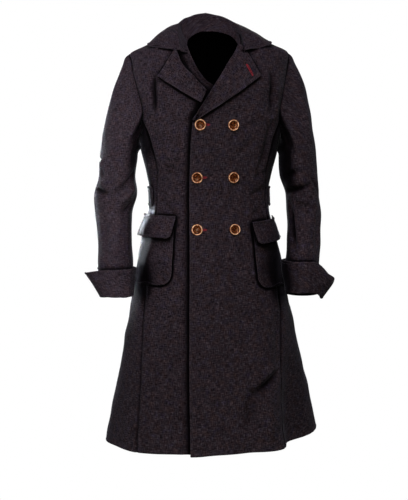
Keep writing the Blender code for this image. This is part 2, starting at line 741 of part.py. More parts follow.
front_panel("front_left", 1.0, EDGE_LEFT, columns=11, under=False)
front_panel("front_right", -1.0, EDGE_RIGHT, columns=11, under=True)
side_panel("side_left", 1.0, columns=8)
side_panel("side_right", -1.0, columns=7)
back_panel("back_left", 1.0, columns=8)
back_panel("back_right", -1.0, columns=8)
SLEEVES = (("left", SLEEVE_LEFT, 1.0, CAP_LEFT), ("right", SLEEVE_RIGHT, -1.0, CAP_RIGHT))
for side, table, sign, cap in SLEEVES:
    back_seam = SLEEVE_BACK_SEAM - 360.0
    sleeve_panel("sleeve_top_" + side, table, sign, cap, back_seam, SLEEVE_FRONT_SEAM, columns=12)
    sleeve_panel("sleeve_under_" + side, table, sign, cap, SLEEVE_FRONT_SEAM, SLEEVE_BACK_SEAM, columns=8)
cuff("cuff_left", CUFF_LEFT, SLEEVE_LEFT, 1.0, CUFF_BOTTOM_LEFT, CUFF_TOP_LEFT, columns=19)
cuff("cuff_right", CUFF_RIGHT, SLEEVE_RIGHT, -1.0, CUFF_BOTTOM_RIGHT, CUFF_TOP_RIGHT, columns=19)
collar_fall(columns=23, tall=6)
collar_stand(columns=23, tall=3)
lapel("lapel_left", LAPEL_LEFT, tall=10, columns=6)
lapel("lapel_right", LAPEL_RIGHT, tall=8, columns=6)
neck_facing(tall=7, columns=3)
pocket("pocket_left", POCKET_LEFT, tall=8, columns=11)
pocket("pocket_right", POCKET_RIGHT, tall=8, columns=11)
flap("flap_left", FLAP_LEFT, tall=5, columns=9)
flap("flap_right", FLAP_RIGHT, tall=5, columns=9)
half_belt(columns=29)
for row in BUTTONS:
    button(row)
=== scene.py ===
"""Looks of the double-breasted wool overcoat: sewn cloth shells on the coat's form, horn
buttons, stitching and red buttonholes, in metres, +Z up, the front facing -Y."""

import math
from collections import namedtuple

import bmesh
import bpy
import numpy as np
from mathutils import Matrix, Vector
from mathutils.bvhtree import BVHTree


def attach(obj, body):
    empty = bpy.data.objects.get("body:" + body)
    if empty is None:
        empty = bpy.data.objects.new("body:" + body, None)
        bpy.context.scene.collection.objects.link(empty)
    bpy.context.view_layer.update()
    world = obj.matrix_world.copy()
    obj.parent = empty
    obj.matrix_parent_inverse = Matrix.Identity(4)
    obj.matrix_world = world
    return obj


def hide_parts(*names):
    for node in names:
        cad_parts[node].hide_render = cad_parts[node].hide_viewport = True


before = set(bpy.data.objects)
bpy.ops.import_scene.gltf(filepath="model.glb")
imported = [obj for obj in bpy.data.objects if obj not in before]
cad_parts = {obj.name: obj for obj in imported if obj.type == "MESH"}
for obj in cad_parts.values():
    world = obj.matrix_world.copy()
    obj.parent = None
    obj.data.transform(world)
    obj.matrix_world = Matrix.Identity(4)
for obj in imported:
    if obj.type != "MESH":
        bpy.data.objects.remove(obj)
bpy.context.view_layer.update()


def make_rows(kind, *values):
    """A table: rows of values with named columns."""
    return tuple(kind(*value) for value in values)


# Thickness of the cloth, and the spacing of its grids
WALL = 0.0022
TRIM_WALL = 0.0028
COLLAR_WALL = 0.0024
STAND_WALL = 0.0016
LAPEL_WALL = 0.0022
FACING_WALL = 0.0020
POCKET_WALL = 0.0020
BELT_WALL = 0.0024
RIM_TURNS = (45.0, 90.0, 135.0)
SEAM_GAP = 0.0002
CLOTH_STEP = 0.006
FRONT_STEP = 0.0042
SLEEVE_STEP = 0.0046
TRIM_STEP = 0.0045
FLAP_STEP = 0.0035
BELT_STEP = 0.003
LAPEL_STEP_ACROSS = 0.0035
LAPEL_STEP_UP = 0.0040
FINE_STEP = 0.0014
FINE_RUN = 0.009
COARSE_RUN = 0.030

# Samples of curves that are searched or measured
HALVINGS = 26
ROUND_REACH = 2.4
ROUND_SAMPLES = 400
ARMHOLE_SAMPLES = 80
GRADED_SAMPLES = 3000
HEIGHT_SAMPLES = 1500
GRAIN_SAMPLES = 60

# The coat's form, section by section
HEM = -1.057
SHOULDER_TIP = -0.016
ARMPIT = -0.225
NECK_SIDE = 0.045
FRONT_TOP = 0.037
BACK_NECK_RISE = 0.008
LEFT_SHOULDER_RISE = 0.006
LEFT_RISE_HEIGHTS = (-0.150, -0.020)
LEFT_RISE_ACROSS = (0.060, 0.200)
ARMPIT_CLEAR = 0.0012
SIDE_LEVEL_TOP = -0.320
UNDERLAP_DROP = 0.0060
UNDERLAP_RUN = 0.026
UNDERLAP_CLEAR = 0.008
CORNER_DROP = 0.006
CORNER_RUN = 0.050
FRONT_MIDDLE = 40.0
FRONT_WIDTH = 0.27
SIDE_WIDTH = 0.11
SIDE_PASSES = 3
BACK_MIDDLE = 140.0
BACK_WIDTH = 0.22

Section = namedtuple("Section", "height half_width front back square")
SECTIONS = make_rows(
    Section,
    (-1.057, 0.277, 0.200, 0.214, 2.10),
    (-0.950, 0.258, 0.184, 0.192, 2.10),
    (-0.820, 0.235, 0.168, 0.170, 2.15),
    (-0.685, 0.214, 0.154, 0.150, 2.20),
    (-0.575, 0.193, 0.144, 0.136, 2.25),
    (-0.488, 0.1755, 0.134, 0.121, 2.30),
    (-0.425, 0.1620, 0.126, 0.108, 2.30),
    (-0.385, 0.1595, 0.123, 0.105, 2.30),
    (-0.337, 0.1670, 0.125, 0.109, 2.30),
    (-0.270, 0.184, 0.131, 0.120, 2.30),
    (-0.200, 0.197, 0.134, 0.128, 2.30),
    (-0.120, 0.206, 0.130, 0.129, 2.25),
    (-0.070, 0.211, 0.119, 0.122, 2.20),
    (-0.030, 0.214, 0.103, 0.112, 2.10),
    (-0.016, 0.212, 0.095, 0.107, 2.05),
    (0.005, 0.174, 0.076, 0.096, 2.00),
    (0.025, 0.130, 0.050, 0.081, 2.00),
    (0.045, 0.079, 0.022, 0.062, 2.00),
)

Fold = namedtuple("Fold", "angle half_width reach lift top")
FOLDS = make_rows(
    Fold,
    (26, 11, -0.010, 0.000, -0.720),
    (45, 11, 0.003, 0.000, -0.700),
    (69, 13, -0.048, 0.000, -0.690),
    (104, 26, 0.031, 0.024, -0.460),
    (147, 15, -0.022, 0.000, -0.700),
    (168, 10, 0.014, 0.000, -0.650),
    (-28, 13, -0.006, 0.000, -0.760),
    (-52, 13, 0.010, 0.000, -0.760),
    (-76, 12, -0.008, 0.000, -0.720),
    (-102, 18, 0.008, -0.005, -0.680),
    (-142, 14, -0.020, 0.000, -0.700),
    (-166, 10, 0.014, 0.000, -0.650),
)
FOLD_GROWTH = 1.2

ArmholeRow = namedtuple("ArmholeRow", "fraction half_angle")
ARMHOLE = make_rows(
    ArmholeRow,
    (0.00, 0.0),
    (0.05, 3.5),
    (0.14, 6.0),
    (0.28, 9.5),
    (0.45, 14.0),
    (0.62, 17.5),
    (0.78, 19.0),
    (0.90, 16.0),
    (0.97, 9.5),
    (1.00, 0.0),
)
ARMHOLE_RADIUS = 0.2

SeamRow = namedtuple("SeamRow", "height front_seam back_seam")
SEAMS = make_rows(
    SeamRow,
    (-1.057, 0.198, 0.200),
    (-0.770, 0.187, 0.172),
    (-0.640, 0.176, 0.160),
    (-0.500, 0.156, 0.138),
    (-0.390, 0.145, 0.122),
    (-0.330, 0.145, 0.126),
    (-0.260, 0.158, 0.145),
    (-0.188, 0.184, 0.1825),
)
SEAM_TOP = -0.188

EdgeRow = namedtuple("EdgeRow", "height across")
EDGE_LEFT = make_rows(
    EdgeRow,
    (-1.057, -0.068),
    (-0.860, -0.068),
    (-0.514, -0.063),
    (-0.370, -0.063),
    (-0.250, -0.060),
    (-0.194, -0.055),
    (-0.003, 0.067),
    (0.012, 0.074),
    (0.025, 0.077),
    (0.045, 0.077),
)
EDGE_RIGHT = make_rows(
    EdgeRow,
    (-1.057, 0.042),
    (-0.370, 0.042),
    (-0.240, 0.040),
    (-0.117, -0.026),
    (-0.081, -0.059),
    (-0.043, -0.087),
    (-0.010, -0.098),
    (0.025, -0.088),
    (0.045, -0.077),
)

# Sleeves and cuffs
SleeveRow = namedtuple("SleeveRow", "height out forward half_width half_depth")
SLEEVE_RIGHT = make_rows(
    SleeveRow,
    (-0.648, 0.2530, 0.102, 0.0400, 0.0480),
    (-0.580, 0.2555, 0.082, 0.0450, 0.0540),
    (-0.510, 0.2555, 0.046, 0.0455, 0.0590),
    (-0.440, 0.2575, 0.016, 0.0490, 0.0620),
    (-0.390, 0.2515, 0.002, 0.0575, 0.0650),
    (-0.337, 0.2480, 0.000, 0.0500, 0.0680),
    (-0.270, 0.2405, 0.000, 0.0500, 0.0700),
)
SLEEVE_LEFT = make_rows(
    SleeveRow,
    (-0.648, 0.2370, 0.106, 0.0410, 0.0480),
    (-0.580, 0.2405, 0.086, 0.0450, 0.0540),
    (-0.510, 0.2505, 0.050, 0.0450, 0.0590),
    (-0.440, 0.2565, 0.018, 0.0455, 0.0620),
    (-0.390, 0.2540, 0.004, 0.0450, 0.0650),
    (-0.337, 0.2440, 0.000, 0.0510, 0.0680),
    (-0.270, 0.2390, 0.000, 0.0500, 0.0700),
)
SLEEVE_START = -0.270
SLEEVE_END = -0.648
CapLeave = namedtuple("CapLeave", "out down")
CAP_RIGHT = CapLeave(0.48, 0.74)
CAP_LEFT = CapLeave(0.60, 0.66)
SLEEVE_LEAN = 0.12
SLEEVE_HEAD_OUT = 0.0010
SLEEVE_TUCK = 0.0044
SLEEVE_TUCK_TURN = 0.035
SLEEVE_TUCK_SHARES = (0.0, 0.05)
SLEEVE_RADIUS = 0.055
SLEEVE_FRONT_SEAM = 128.0
SLEEVE_BACK_SEAM = 244.0
CAP_LENGTH = 0.20
CAP_EVEN_SHARE = 0.82
CAP_LAST_SHARES = (0.84, 1.0, 8)
HEAD_PUFF = 0.0035
HEAD_PUFF_TURN = 62.0
HEAD_PUFF_AT = 0.014
HEAD_PUFF_RUN = 0.013

CuffRow = namedtuple("CuffRow", "share room flare drop")
CUFF_RIGHT = make_rows(
    CuffRow,
    (0.0, 0.0035, 0.002, 0.004),
    (0.5, 0.0065, 0.014, 0.006),
    (1.0, 0.0090, 0.027, 0.013),
)
CUFF_LEFT = make_rows(
    CuffRow,
    (0.0, 0.0035, 0.012, 0.018),
    (0.5, 0.0070, 0.038, 0.014),
    (1.0, 0.0095, 0.015, 0.046),
)
CuffEnds = namedtuple("CuffEnds", "bottom top")
CUFF_ENDS_RIGHT = CuffEnds(-0.646, -0.578)
CUFF_ENDS_LEFT = CuffEnds(-0.641, -0.562)
CUFF_SLIT = -8.0
CUFF_SLIT_WIDTH = 6.0
CUFF_FLARE_RUN = 75.0
CUFF_CLOSE = 0.72
CUFF_CLOSE_START = 270.0
CUFF_CLOSE_STOP = 340.0
CUFF_CURL = 0.0030
CUFF_CURL_BENDS = (180.0, 140.0, 100.0, 65.0, 32.0)
CUFF_ROUND = 0.34
CUFF_RIPPLE = 1.4

# Collar, lapels and the facing in the neck: sizes
CollarRow = namedtuple("CollarRow", "share fold edge_angle edge_height")
COLLAR = make_rows(
    CollarRow,
    (0.00, (0.000, 0.086, 0.100), 180.0, -0.006),
    (0.20, (0.036, 0.080, 0.095), 152.0, -0.005),
    (0.40, (0.067, 0.054, 0.080), 127.0, 0.000),
    (0.60, (0.085, 0.016, 0.064), 107.0, 0.007),
    (0.80, (0.090, -0.036, 0.040), 91.0, 0.010),
    (1.00, (0.0855, -0.097, -0.008), 75.0, 0.001),
)
FootRow = namedtuple("FootRow", "share place")
COLLAR_FOOT = make_rows(
    FootRow,
    (-1.0, (-0.0586, -0.072, -0.0130)),
    (-0.8, (-0.0618, -0.032, 0.0052)),
    (-0.6, (-0.0573, 0.006, 0.0223)),
    (-0.4, (-0.0428, 0.030, 0.0377)),
    (-0.2, (-0.0193, 0.048, 0.0484)),
    (0.0, (0.0080, 0.055, 0.0517)),
    (0.2, (0.0355, 0.046, 0.0484)),
    (0.4, (0.0590, 0.028, 0.0393)),
    (0.6, (0.0710, 0.004, 0.0245)),
    (0.8, (0.0735, -0.032, 0.0087)),
    (1.0, (0.0720, -0.072, -0.0083)),
)
COLLAR_LAY = 0.0006
COLLAR_BELLY = 0.010
COLLAR_BELLY_TAPER = 0.45
COLLAR_MIDDLE = (0.0, 0.02, 0.02)
COLLAR_LEAN = 0.7
COLLAR_ROLL = 0.0050
COLLAR_INSIDE = 0.0045
COLLAR_SEAM_DIP = 0.0011
COLLAR_SEAM_RUN = 0.0022
COLLAR_HALF = 0.26
COLLAR_ROUND = 0.52
COLLAR_DEEP = 0.11
COLLAR_INSIDE_DEEP = 0.05
COLLAR_INSIDE_BOW = 0.002
COLLAR_FOLD_ROWS = 10
COLLAR_SEAM_ROWS = (22, 14)
COLLAR_RIPPLE = 1.5
COLLAR_FLAT_ENDS = (0.66, 0.98)
COLLAR_PUSHED = (0.84, 0.94)
COLLAR_SHOULDER = (0.60, 0.16, 0.5)
STAND_REACH = 0.90
STAND_SHARES = (0.18, 0.62)
STAND_MIDDLE = (0.0, 0.01, 0.0)
STAND_INSET = 0.0036
STAND_TOP_DROP = 0.0034
STAND_BEHIND = 0.0006
STAND_ROUND = 0.34
STAND_ROWS = 14
LEVEL = np.array((1.0, 1.0, 0.0))
UP = np.array((0.0, 0.0, 1.0))

Lapel = namedtuple("Lapel", "roll tip foot top_bow")
LAPEL_LEFT = Lapel(((-0.053, -0.190), (-0.010, -0.124), (0.032, -0.059), (0.071, -0.001)),
                   (0.123, -0.077), (-0.046, -0.190), 0.0070)
LAPEL_RIGHT = Lapel(((-0.022, -0.117), (-0.056, -0.081), (-0.084, -0.043), (-0.096, -0.010)),
                    (-0.141, -0.078), (-0.034, -0.145), 0.0)
LAPEL_GAP = 0.0006
LAPEL_ROLL = 0.007
LAPEL_LIFT = 0.0060
LAPEL_BELLY = 0.002
LAPEL_CURL = 0.006
LAPEL_CURL_END = 0.8
LAPEL_CURL_ROWS = 9
LAPEL_WIDTH = 0.08
LAPEL_BOW_SHARES = (0.6, 1.0)
LAPEL_BOW_SKEW = 0.6
LAPEL_BOW_LEAN = 0.7
LAPEL_BEHIND = 0.0010
LAPEL_PAST = 0.0015
LAPEL_RIPPLE = 1.2
LAPEL_RIPPLE_STRETCH = 1.3
FACING_LENGTH = 0.17
FACING_WIDTH = 0.036
FACING_BEHIND = 0.0025
NeckRow = namedtuple("NeckRow", "up outer middle inner")
NECK_FACING = make_rows(
    NeckRow,
    (0.00, (-0.0300, -0.104, -0.1310), (-0.0060, -0.1060, -0.1210), (0.0160, -0.102, -0.1125)),
    (0.17, (-0.0400, -0.099, -0.1130), (-0.0180, -0.1030, -0.1065), (0.0004, -0.100, -0.0996)),
    (0.33, (-0.0550, -0.093, -0.0945), (-0.0360, -0.0960, -0.0895), (-0.0186, -0.094, -0.0846)),
    (0.50, (-0.0755, -0.085, -0.0720), (-0.0560, -0.0875, -0.0655), (-0.0376, -0.086, -0.0590)),
    (0.67, (-0.0890, -0.077, -0.0470), (-0.0685, -0.0820, -0.0410), (-0.0495, -0.079, -0.0352)),
    (0.83, (-0.0985, -0.070, -0.0205), (-0.0790, -0.0855, -0.0165), (-0.0588, -0.071, -0.0127)),
    (1.00, (-0.0990, -0.046, 0.0035), (-0.0800, -0.0560, 0.0040), (-0.0620, -0.044, 0.0040)),
)

# Pockets, flaps and belt: sizes
Patch = namedtuple("Patch", "top_in bottom_in top bottom outer_rise lay")
POCKET_RIGHT = Patch(-0.102, -0.113, -0.464, -0.622, 0.000, 0.0006)
POCKET_LEFT = Patch(0.103, 0.118, -0.474, -0.632, 0.006, 0.0006)
FLAP_RIGHT = Patch(-0.097, -0.109, -0.442, -0.499, 0.000, 0.0040)
FLAP_LEFT = Patch(0.100, 0.112, -0.459, -0.516, 0.009, 0.0040)
POCKET_WIDTH = 0.150
POCKET_CORNER = 0.030
POCKET_BELLY = 0.0014
FLAP_WIDTH = 0.154
FLAP_CORNER = 0.009
FLAP_STAND_OFF = 0.0085
FLAP_STAND_OFF_POWER = 0.8
FLAP_RIDGE = 0.0022
FLAP_RIDGE_RUN = 0.10
FLAP_BOW = 0.0016
FLAP_BOW_SHIFT = 0.6
BELT_TOP = -0.367
BELT_BOTTOM = -0.418
BELT_END = 74.0
BELT_GAP = 0.0012
BELT_LENGTH = 0.40

# Shade given for deep places: amounts, and where each sets in and ends
ARM_SHADE = 0.40
ARMHOLE_SHADE_RUN = (0.003, 0.012)
ARMHOLE_SHADE_LOW = (-0.205, -0.180)
ARMHOLE_SHADE_HIGH = (-0.125, -0.075)
SIDE_SHADE_LOW = (-0.310, -0.250)
SEAM_SHADE = 0.26
SEAM_SHADE_RUN = 0.0026
FACING_SHADE = 0.40
FACING_SHADE_SHARES = (0.40, 0.70)
LAP_SHADE = 0.30
LAP_SHADE_AT = 0.005
LAP_SHADE_RUN = 0.0075
ShadeSpot = namedtuple("ShadeSpot", "middle reach amount")
SHADE_SPOTS = make_rows(
    ShadeSpot,
    ((-0.184, -0.060, -0.618), (0.020, 0.140, 0.042), 0.80),
    ((0.186, -0.060, -0.618), (0.024, 0.140, 0.060), 0.65),
    ((0.152, -0.090, -0.560), (0.030, 0.100, 0.065), 0.26),
    ((0.146, -0.070, -0.275), (0.022, 0.070, 0.085), 0.10),
    ((0.236, -0.020, -0.900), (0.036, 0.140, 0.200), 0.15),
    ((-0.136, -0.120, -0.560), (0.040, 0.080, 0.060), 0.06),
    ((0.000, 0.070, 0.086), (0.060, 0.030, 0.025), 0.05),
)
SleeveShade = namedtuple("SleeveShade", "front back low high")
SLEEVE_SHADE_RIGHT = SleeveShade((116.0, 138.0), (205.0, 240.0), (-0.350, -0.290), (-0.125, -0.080))
SLEEVE_SHADE_LEFT = SleeveShade((104.0, 132.0), (205.0, 240.0), (-0.395, -0.345), (-0.125, -0.080))

# Buttons and buttonholes
ButtonRow = namedtuple("ButtonRow", "name across height turn")
BUTTONS = make_rows(
    ButtonRow,
    ("button_top_right", -0.036, -0.203, 35.0),
    ("button_top_left", 0.050, -0.204, 10.0),
    ("button_middle_right", -0.043, -0.340, 0.0),
    ("button_middle_left", 0.052, -0.340, 60.0),
    ("button_bottom_right", -0.044, -0.476, 5.0),
    ("button_bottom_left", 0.054, -0.476, 25.0),
)
BUTTON_RADIUS = 0.0153
BUTTON_HEIGHT = 0.0052
BUTTON_SEAT = 0.0008
ProfileRow = namedtuple("ProfileRow", "radius_share height_share rim")
BUTTON_PROFILE = make_rows(
    ProfileRow,
    (0.00, 0.16, 0.0),
    (0.15, 0.175, 0.0),
    (0.30, 0.22, 0.0),
    (0.45, 0.31, 0.0),
    (0.58, 0.44, 0.0),
    (0.68, 0.60, 0.02),
    (0.745, 0.80, 0.10),
    (0.785, 0.955, 0.80),
    (0.83, 1.00, 1.0),
    (0.875, 0.97, 0.85),
    (0.925, 0.87, 0.18),
    (0.97, 0.72, 0.05),
    (1.00, 0.52, 0.0),
    (0.97, 0.30, 0.0),
    (0.90, 0.10, 0.0),
    (0.80, 0.00, 0.0),
    (0.00, 0.00, 0.0),
)
BUTTON_SIDES = 56
HOLE_RADIUS = 0.00105
HOLE_REACH = 0.0030
HOLE_SIDES = 14
HOLES = 4
BUTTON_SHARP = 50.0
BUTTONHOLE_REACH = (0.004, 0.0245)
BUTTONHOLE_HALF_WIDTH = 0.0016
LAPEL_HOLE = ((0.0857, -0.0493), (0.1015, -0.0781))
OVAL_POINTS = 73
OVAL_SQUARE = 0.5
OVAL_ABOVE = 0.004
CLOTH_REACH = 0.03

# Creases placed one by one: both ends, half width, and depth, below 0 for a trough
Crease = namedtuple("Crease", "angle height angle_end height_end half_width depth")
BODY_CREASES = make_rows(
    Crease,
    (-59.5, -0.066, -57.5, -0.182, 0.0060, -0.0110),
    (-54.5, -0.080, -53.0, -0.178, 0.0110, -0.0050),
    (-64.5, -0.080, -63.5, -0.180, 0.0065, 0.0045),
    (-57.0, -0.188, -52.0, -0.325, 0.0085, -0.0045),
    (61.5, -0.056, 59.0, -0.186, 0.0066, -0.0110),
    (56.5, -0.090, 55.5, -0.180, 0.0100, -0.0045),
    (66.5, -0.080, 65.5, -0.180, 0.0065, 0.0045),
    (54.0, -0.186, 68.0, -0.185, 0.0040, 0.0036),
    (60.0, -0.192, 52.0, -0.340, 0.0105, -0.0078),
    (-55.0, -0.293, -44.0, -0.299, 0.0042, -0.0040),
    (-56.0, -0.309, -42.0, -0.319, 0.0048, -0.0045),
    (-54.0, -0.325, -45.0, -0.333, 0.0042, -0.0036),
    (-64.0, -0.343, -50.0, -0.350, 0.0060, -0.0033),
    (-66.0, -0.374, -51.0, -0.394, 0.0070, -0.0036),
    (-61.0, -0.398, -44.0, -0.433, 0.0085, -0.0045),
    (63.0, -0.326, 47.0, -0.341, 0.0070, -0.0036),
    (64.0, -0.370, 42.0, -0.390, 0.0080, -0.0045),
    (61.0, -0.418, 44.0, -0.441, 0.0080, -0.0039),
    (-17.0, -0.300, -43.0, -0.245, 0.0130, -0.0030),
    (21.0, -0.296, 45.0, -0.238, 0.0130, -0.0033),
    (-18.0, -0.215, -46.0, -0.190, 0.0120, -0.0024),
    (24.0, -0.220, 48.0, -0.200, 0.0120, -0.0027),
    (57.0, -0.850, 31.0, -0.912, 0.0110, -0.0128),
    (31.0, -0.896, 28.0, -1.010, 0.0160, -0.0105),
    (44.0, -0.905, 41.0, -1.030, 0.0200, 0.0067),
    (60.0, -0.700, 55.0, -0.850, 0.0200, -0.0067),
    (8.0, -0.760, 10.0, -1.050, 0.0340, -0.0053),
    (-11.0, -0.600, -13.0, -1.040, 0.0300, 0.0039),
    (-33.0, -0.680, -36.0, -1.050, 0.0300, -0.0060),
    (-50.0, -0.640, -57.0, -0.780, 0.0180, -0.0045),
    (-92.0, -0.520, -90.0, -0.760, 0.0200, -0.0060),
    (88.0, -0.520, 90.0, -0.700, 0.0200, -0.0053),
    (150.0, -0.100, 156.0, -0.310, 0.0140, -0.0067),
    (-150.0, -0.095, -157.0, -0.320, 0.0130, -0.0067),
    (172.0, -0.322, 138.0, -0.310, 0.0070, -0.0033),
    (166.0, -0.348, 128.0, -0.354, 0.0080, -0.0039),
    (-170.0, -0.326, -140.0, -0.311, 0.0070, -0.0036),
    (-165.0, -0.351, -126.0, -0.345, 0.0080, -0.0042),
    (142.0, -0.438, 118.0, -0.472, 0.0090, -0.0042),
    (-141.0, -0.440, -116.0, -0.478, 0.0090, -0.0045),
    (158.0, -0.470, 150.0, -0.700, 0.0220, -0.0060),
    (-159.0, -0.470, -152.0, -0.690, 0.0220, -0.0060),
)
SLEEVE_CREASES_RIGHT = make_rows(
    Crease,
    (4.0, -0.364, 72.0, -0.384, 0.0050, -0.0115),
    (156.0, -0.326, 80.0, -0.386, 0.0085, -0.0078),
    (338.0, -0.292, 388.0, -0.300, 0.0060, -0.0062),
    (135.0, -0.260, 225.0, -0.260, 0.0125, 0.0095),
    (154.0, -0.362, 86.0, -0.424, 0.0102, 0.0084),
    (160.0, -0.394, 108.0, -0.440, 0.0080, -0.0066),
    (36.0, -0.290, 18.0, -0.330, 0.0076, 0.0061),
    (12.0, -0.312, 47.0, -0.338, 0.0068, -0.0070),
    (80.0, -0.345, 32.0, -0.356, 0.0085, 0.0047),
    (54.0, -0.440, 62.0, -0.560, 0.0110, -0.0061),
    (100.0, -0.470, 92.0, -0.570, 0.0102, 0.0042),
    (128.0, -0.110, 120.0, -0.275, 0.0102, -0.0094),
    (60.0, -0.090, 74.0, -0.250, 0.0153, -0.0052),
    (200.0, -0.345, 304.0, -0.398, 0.0085, -0.0108),
    (212.0, -0.420, 286.0, -0.402, 0.0076, -0.0084),
    (228.0, -0.330, 292.0, -0.306, 0.0076, -0.0065),
    (330.0, -0.290, 345.0, -0.420, 0.0093, -0.0056),
    (255.0, -0.440, 262.0, -0.560, 0.0110, -0.0061),
)
SLEEVE_CREASES_LEFT = make_rows(
    Crease,
    (170.0, -0.382, 88.0, -0.369, 0.0076, -0.0105),
    (112.0, -0.372, 56.0, -0.359, 0.0060, -0.0070),
    (135.0, -0.264, 225.0, -0.264, 0.0120, 0.0080),
    (154.0, -0.340, 94.0, -0.322, 0.0076, -0.0084),
    (124.0, -0.400, 78.0, -0.412, 0.0093, 0.0094),
    (158.0, -0.404, 132.0, -0.530, 0.0093, -0.0112),
    (64.0, -0.338, 18.0, -0.404, 0.0072, -0.0070),
    (86.0, -0.440, 90.0, -0.565, 0.0119, 0.0056),
    (48.0, -0.430, 52.0, -0.540, 0.0102, -0.0061),
    (126.0, -0.115, 118.0, -0.280, 0.0102, -0.0099),
    (56.0, -0.085, 70.0, -0.250, 0.0153, -0.0047),
    (196.0, -0.352, 300.0, -0.402, 0.0085, -0.0108),
    (208.0, -0.424, 284.0, -0.410, 0.0076, -0.0079),
    (226.0, -0.334, 290.0, -0.312, 0.0076, -0.0070),
    (328.0, -0.300, 342.0, -0.420, 0.0093, -0.0061),
    (252.0, -0.445, 258.0, -0.560, 0.0110, -0.0061),
)
CREASE_FLANK = 0.55
CREASE_FADE = 0.6
Ripple = namedtuple("Ripple", "across_wave height_wave size shift")
RIPPLES = make_rows(
    Ripple,
    (0.083, 0.310, 0.00042, 0.3),
    (0.137, -0.190, 0.00050, 1.9),
    (-0.061, 0.145, 0.00028, 4.1),
    (0.210, 0.088, 0.00045, 2.6),
    (-0.170, 0.067, 0.00030, 5.2),
    (0.047, -0.121, 0.00022, 0.9),
)
BODY_RIPPLE_RADIUS = 0.18

# Sewn edges: dip at a seam, stitched channel, puff, and whether the edge is free; then the stitches
Edge = namedtuple("Edge", "dip stitched puff free")
SEAM = Edge(0.0026, False, 0.0003, False)
CLOSE_SEAM = Edge(0.0006, False, 0.0, False)
LAPPED = Edge(0.0030, True, 0.0007, False)
TURNED = Edge(0.0, True, 0.0008, True)
HEMMED = Edge(0.0, False, 0.0008, True)
CUT = Edge(0.0, False, 0.0, False)
Edges = namedtuple("Edges", "bottom top start stop")
DIP_RUN = 0.0038
STITCH_INSET = 0.0065
STITCH_DIP = 0.0008
STITCH_RUN = 0.0017
RUBBED_RUN = 0.0030
Stitch = namedtuple("Stitch", "Pitch Length Width Height Turn")
TOPSTITCH = Stitch(0.0052, 0.0040, 0.0008, 0.0006, 0.0)
HOLE_STITCH = Stitch(0.0009, 0.0036, 0.0010, 0.0010, math.pi / 2)
STITCH_SIDES = 6
STITCH_RINGS = 5
FEWEST_STITCH_POINTS = 4

# How far rays from the cloth look for other cloth, and how much painted shade that gives there
SHELTER_NEAR = 0.022
SHELTER_FAR = 0.085
SHELTER_FAR_SHARE = 1.15
SHELTER_RAYS = 14
SHELTER_SPINS = 5
SHELTER_LEAN = 0.97
SHELTER_LIFT = 0.0007
GOLDEN_TURN = 2.39996

# Colours of the finishes, from dark to pale, and their noise in waves to a metre
WOOL_TONES = (
    (0.39, (0.0037, 0.0028, 0.0034)),
    (0.46, (0.0118, 0.0090, 0.0106)),
    (0.54, (0.0266, 0.0210, 0.0236)),
    (0.63, (0.0560, 0.0464, 0.0508)),
)
WOOL_MOTTLE = ((0.30, (0.86, 0.86, 0.86)), (0.70, (1.14, 1.14, 1.14)))
WOOL_CASTS = (
    (0.34, (1.10, 0.94, 0.84)),
    (0.47, (1.05, 0.97, 1.00)),
    (0.57, (0.96, 1.01, 1.04)),
    (0.68, (0.98, 0.95, 1.30)),
)
WOOL_RUBBED = (0.050, 0.042, 0.047, 1.0)
# Near black of the painted shade in folds, seams and deep places
WOOL_PAINTED_SHADE = (0.0008, 0.0006, 0.0008, 1.0)
RUBBED_SHARE = 0.14
# Painted shade: how fast and how far the wool darkens, and where it loses its shine too
PAINTED_SHADE_RATE = 2.4
PAINTED_SHADE_SHARE = 0.92
DULL_RATE = 3.6
DULL_START = -1.8
WEFT_WAVES = (80.0, 480.0)
WARP_WAVES = (480.0, 80.0)
SPECK_WAVES = (900.0, 900.0)
MOTTLE_WAVES = (34.0, 26.0)
HUE_WAVES = (62.0, 56.0)
NAP_WAVES = (1500.0, 1500.0)
WEAVE_TURN = 2.0 * math.pi / 0.0021
INSIDE_TONES = ((0.3, (0.00005, 0.00005, 0.00005)), (0.7, (0.00018, 0.00016, 0.00018)))
INSIDE_WAVES = (300.0, 40.0)
INSIDE_TURN = 2.0 * math.pi / 0.0016
# Horn colours: the dish's bright orange flecks and the rim's palest patches are painted glints on the horn's
# own tones
HORN_DISH_AND_GLINTS = ((0.46, (0.0050, 0.0010, 0.0005)), (0.60, (0.150, 0.038, 0.009)))
HORN_RIM_AND_GLINTS = ((0.36, (0.24, 0.075, 0.025)), (0.60, (0.92, 0.56, 0.31)))
HORN_STREAKS = 420.0
HORN_CLOUDS = 130.0
THREAD_TWIST = 1800.0

# Stage, lights and camera: places and strengths
FLOOR_HEIGHT = -1.50
STAGE_REACH = 30.0
WARM = (1.0, 0.98, 0.86)
VIOLET = (0.86, 0.75, 1.0)
COOL = (0.84, 0.91, 1.0)
SLEEVE_TINT = (0.90, 0.88, 1.0)
WORLD_COLOUR = (0.95, 0.96, 1.0, 1.0)
WORLD_STRENGTH = 0.045
COAT_MIDDLE = (0.0, 0.0, -0.5)
WIDE = 180.0
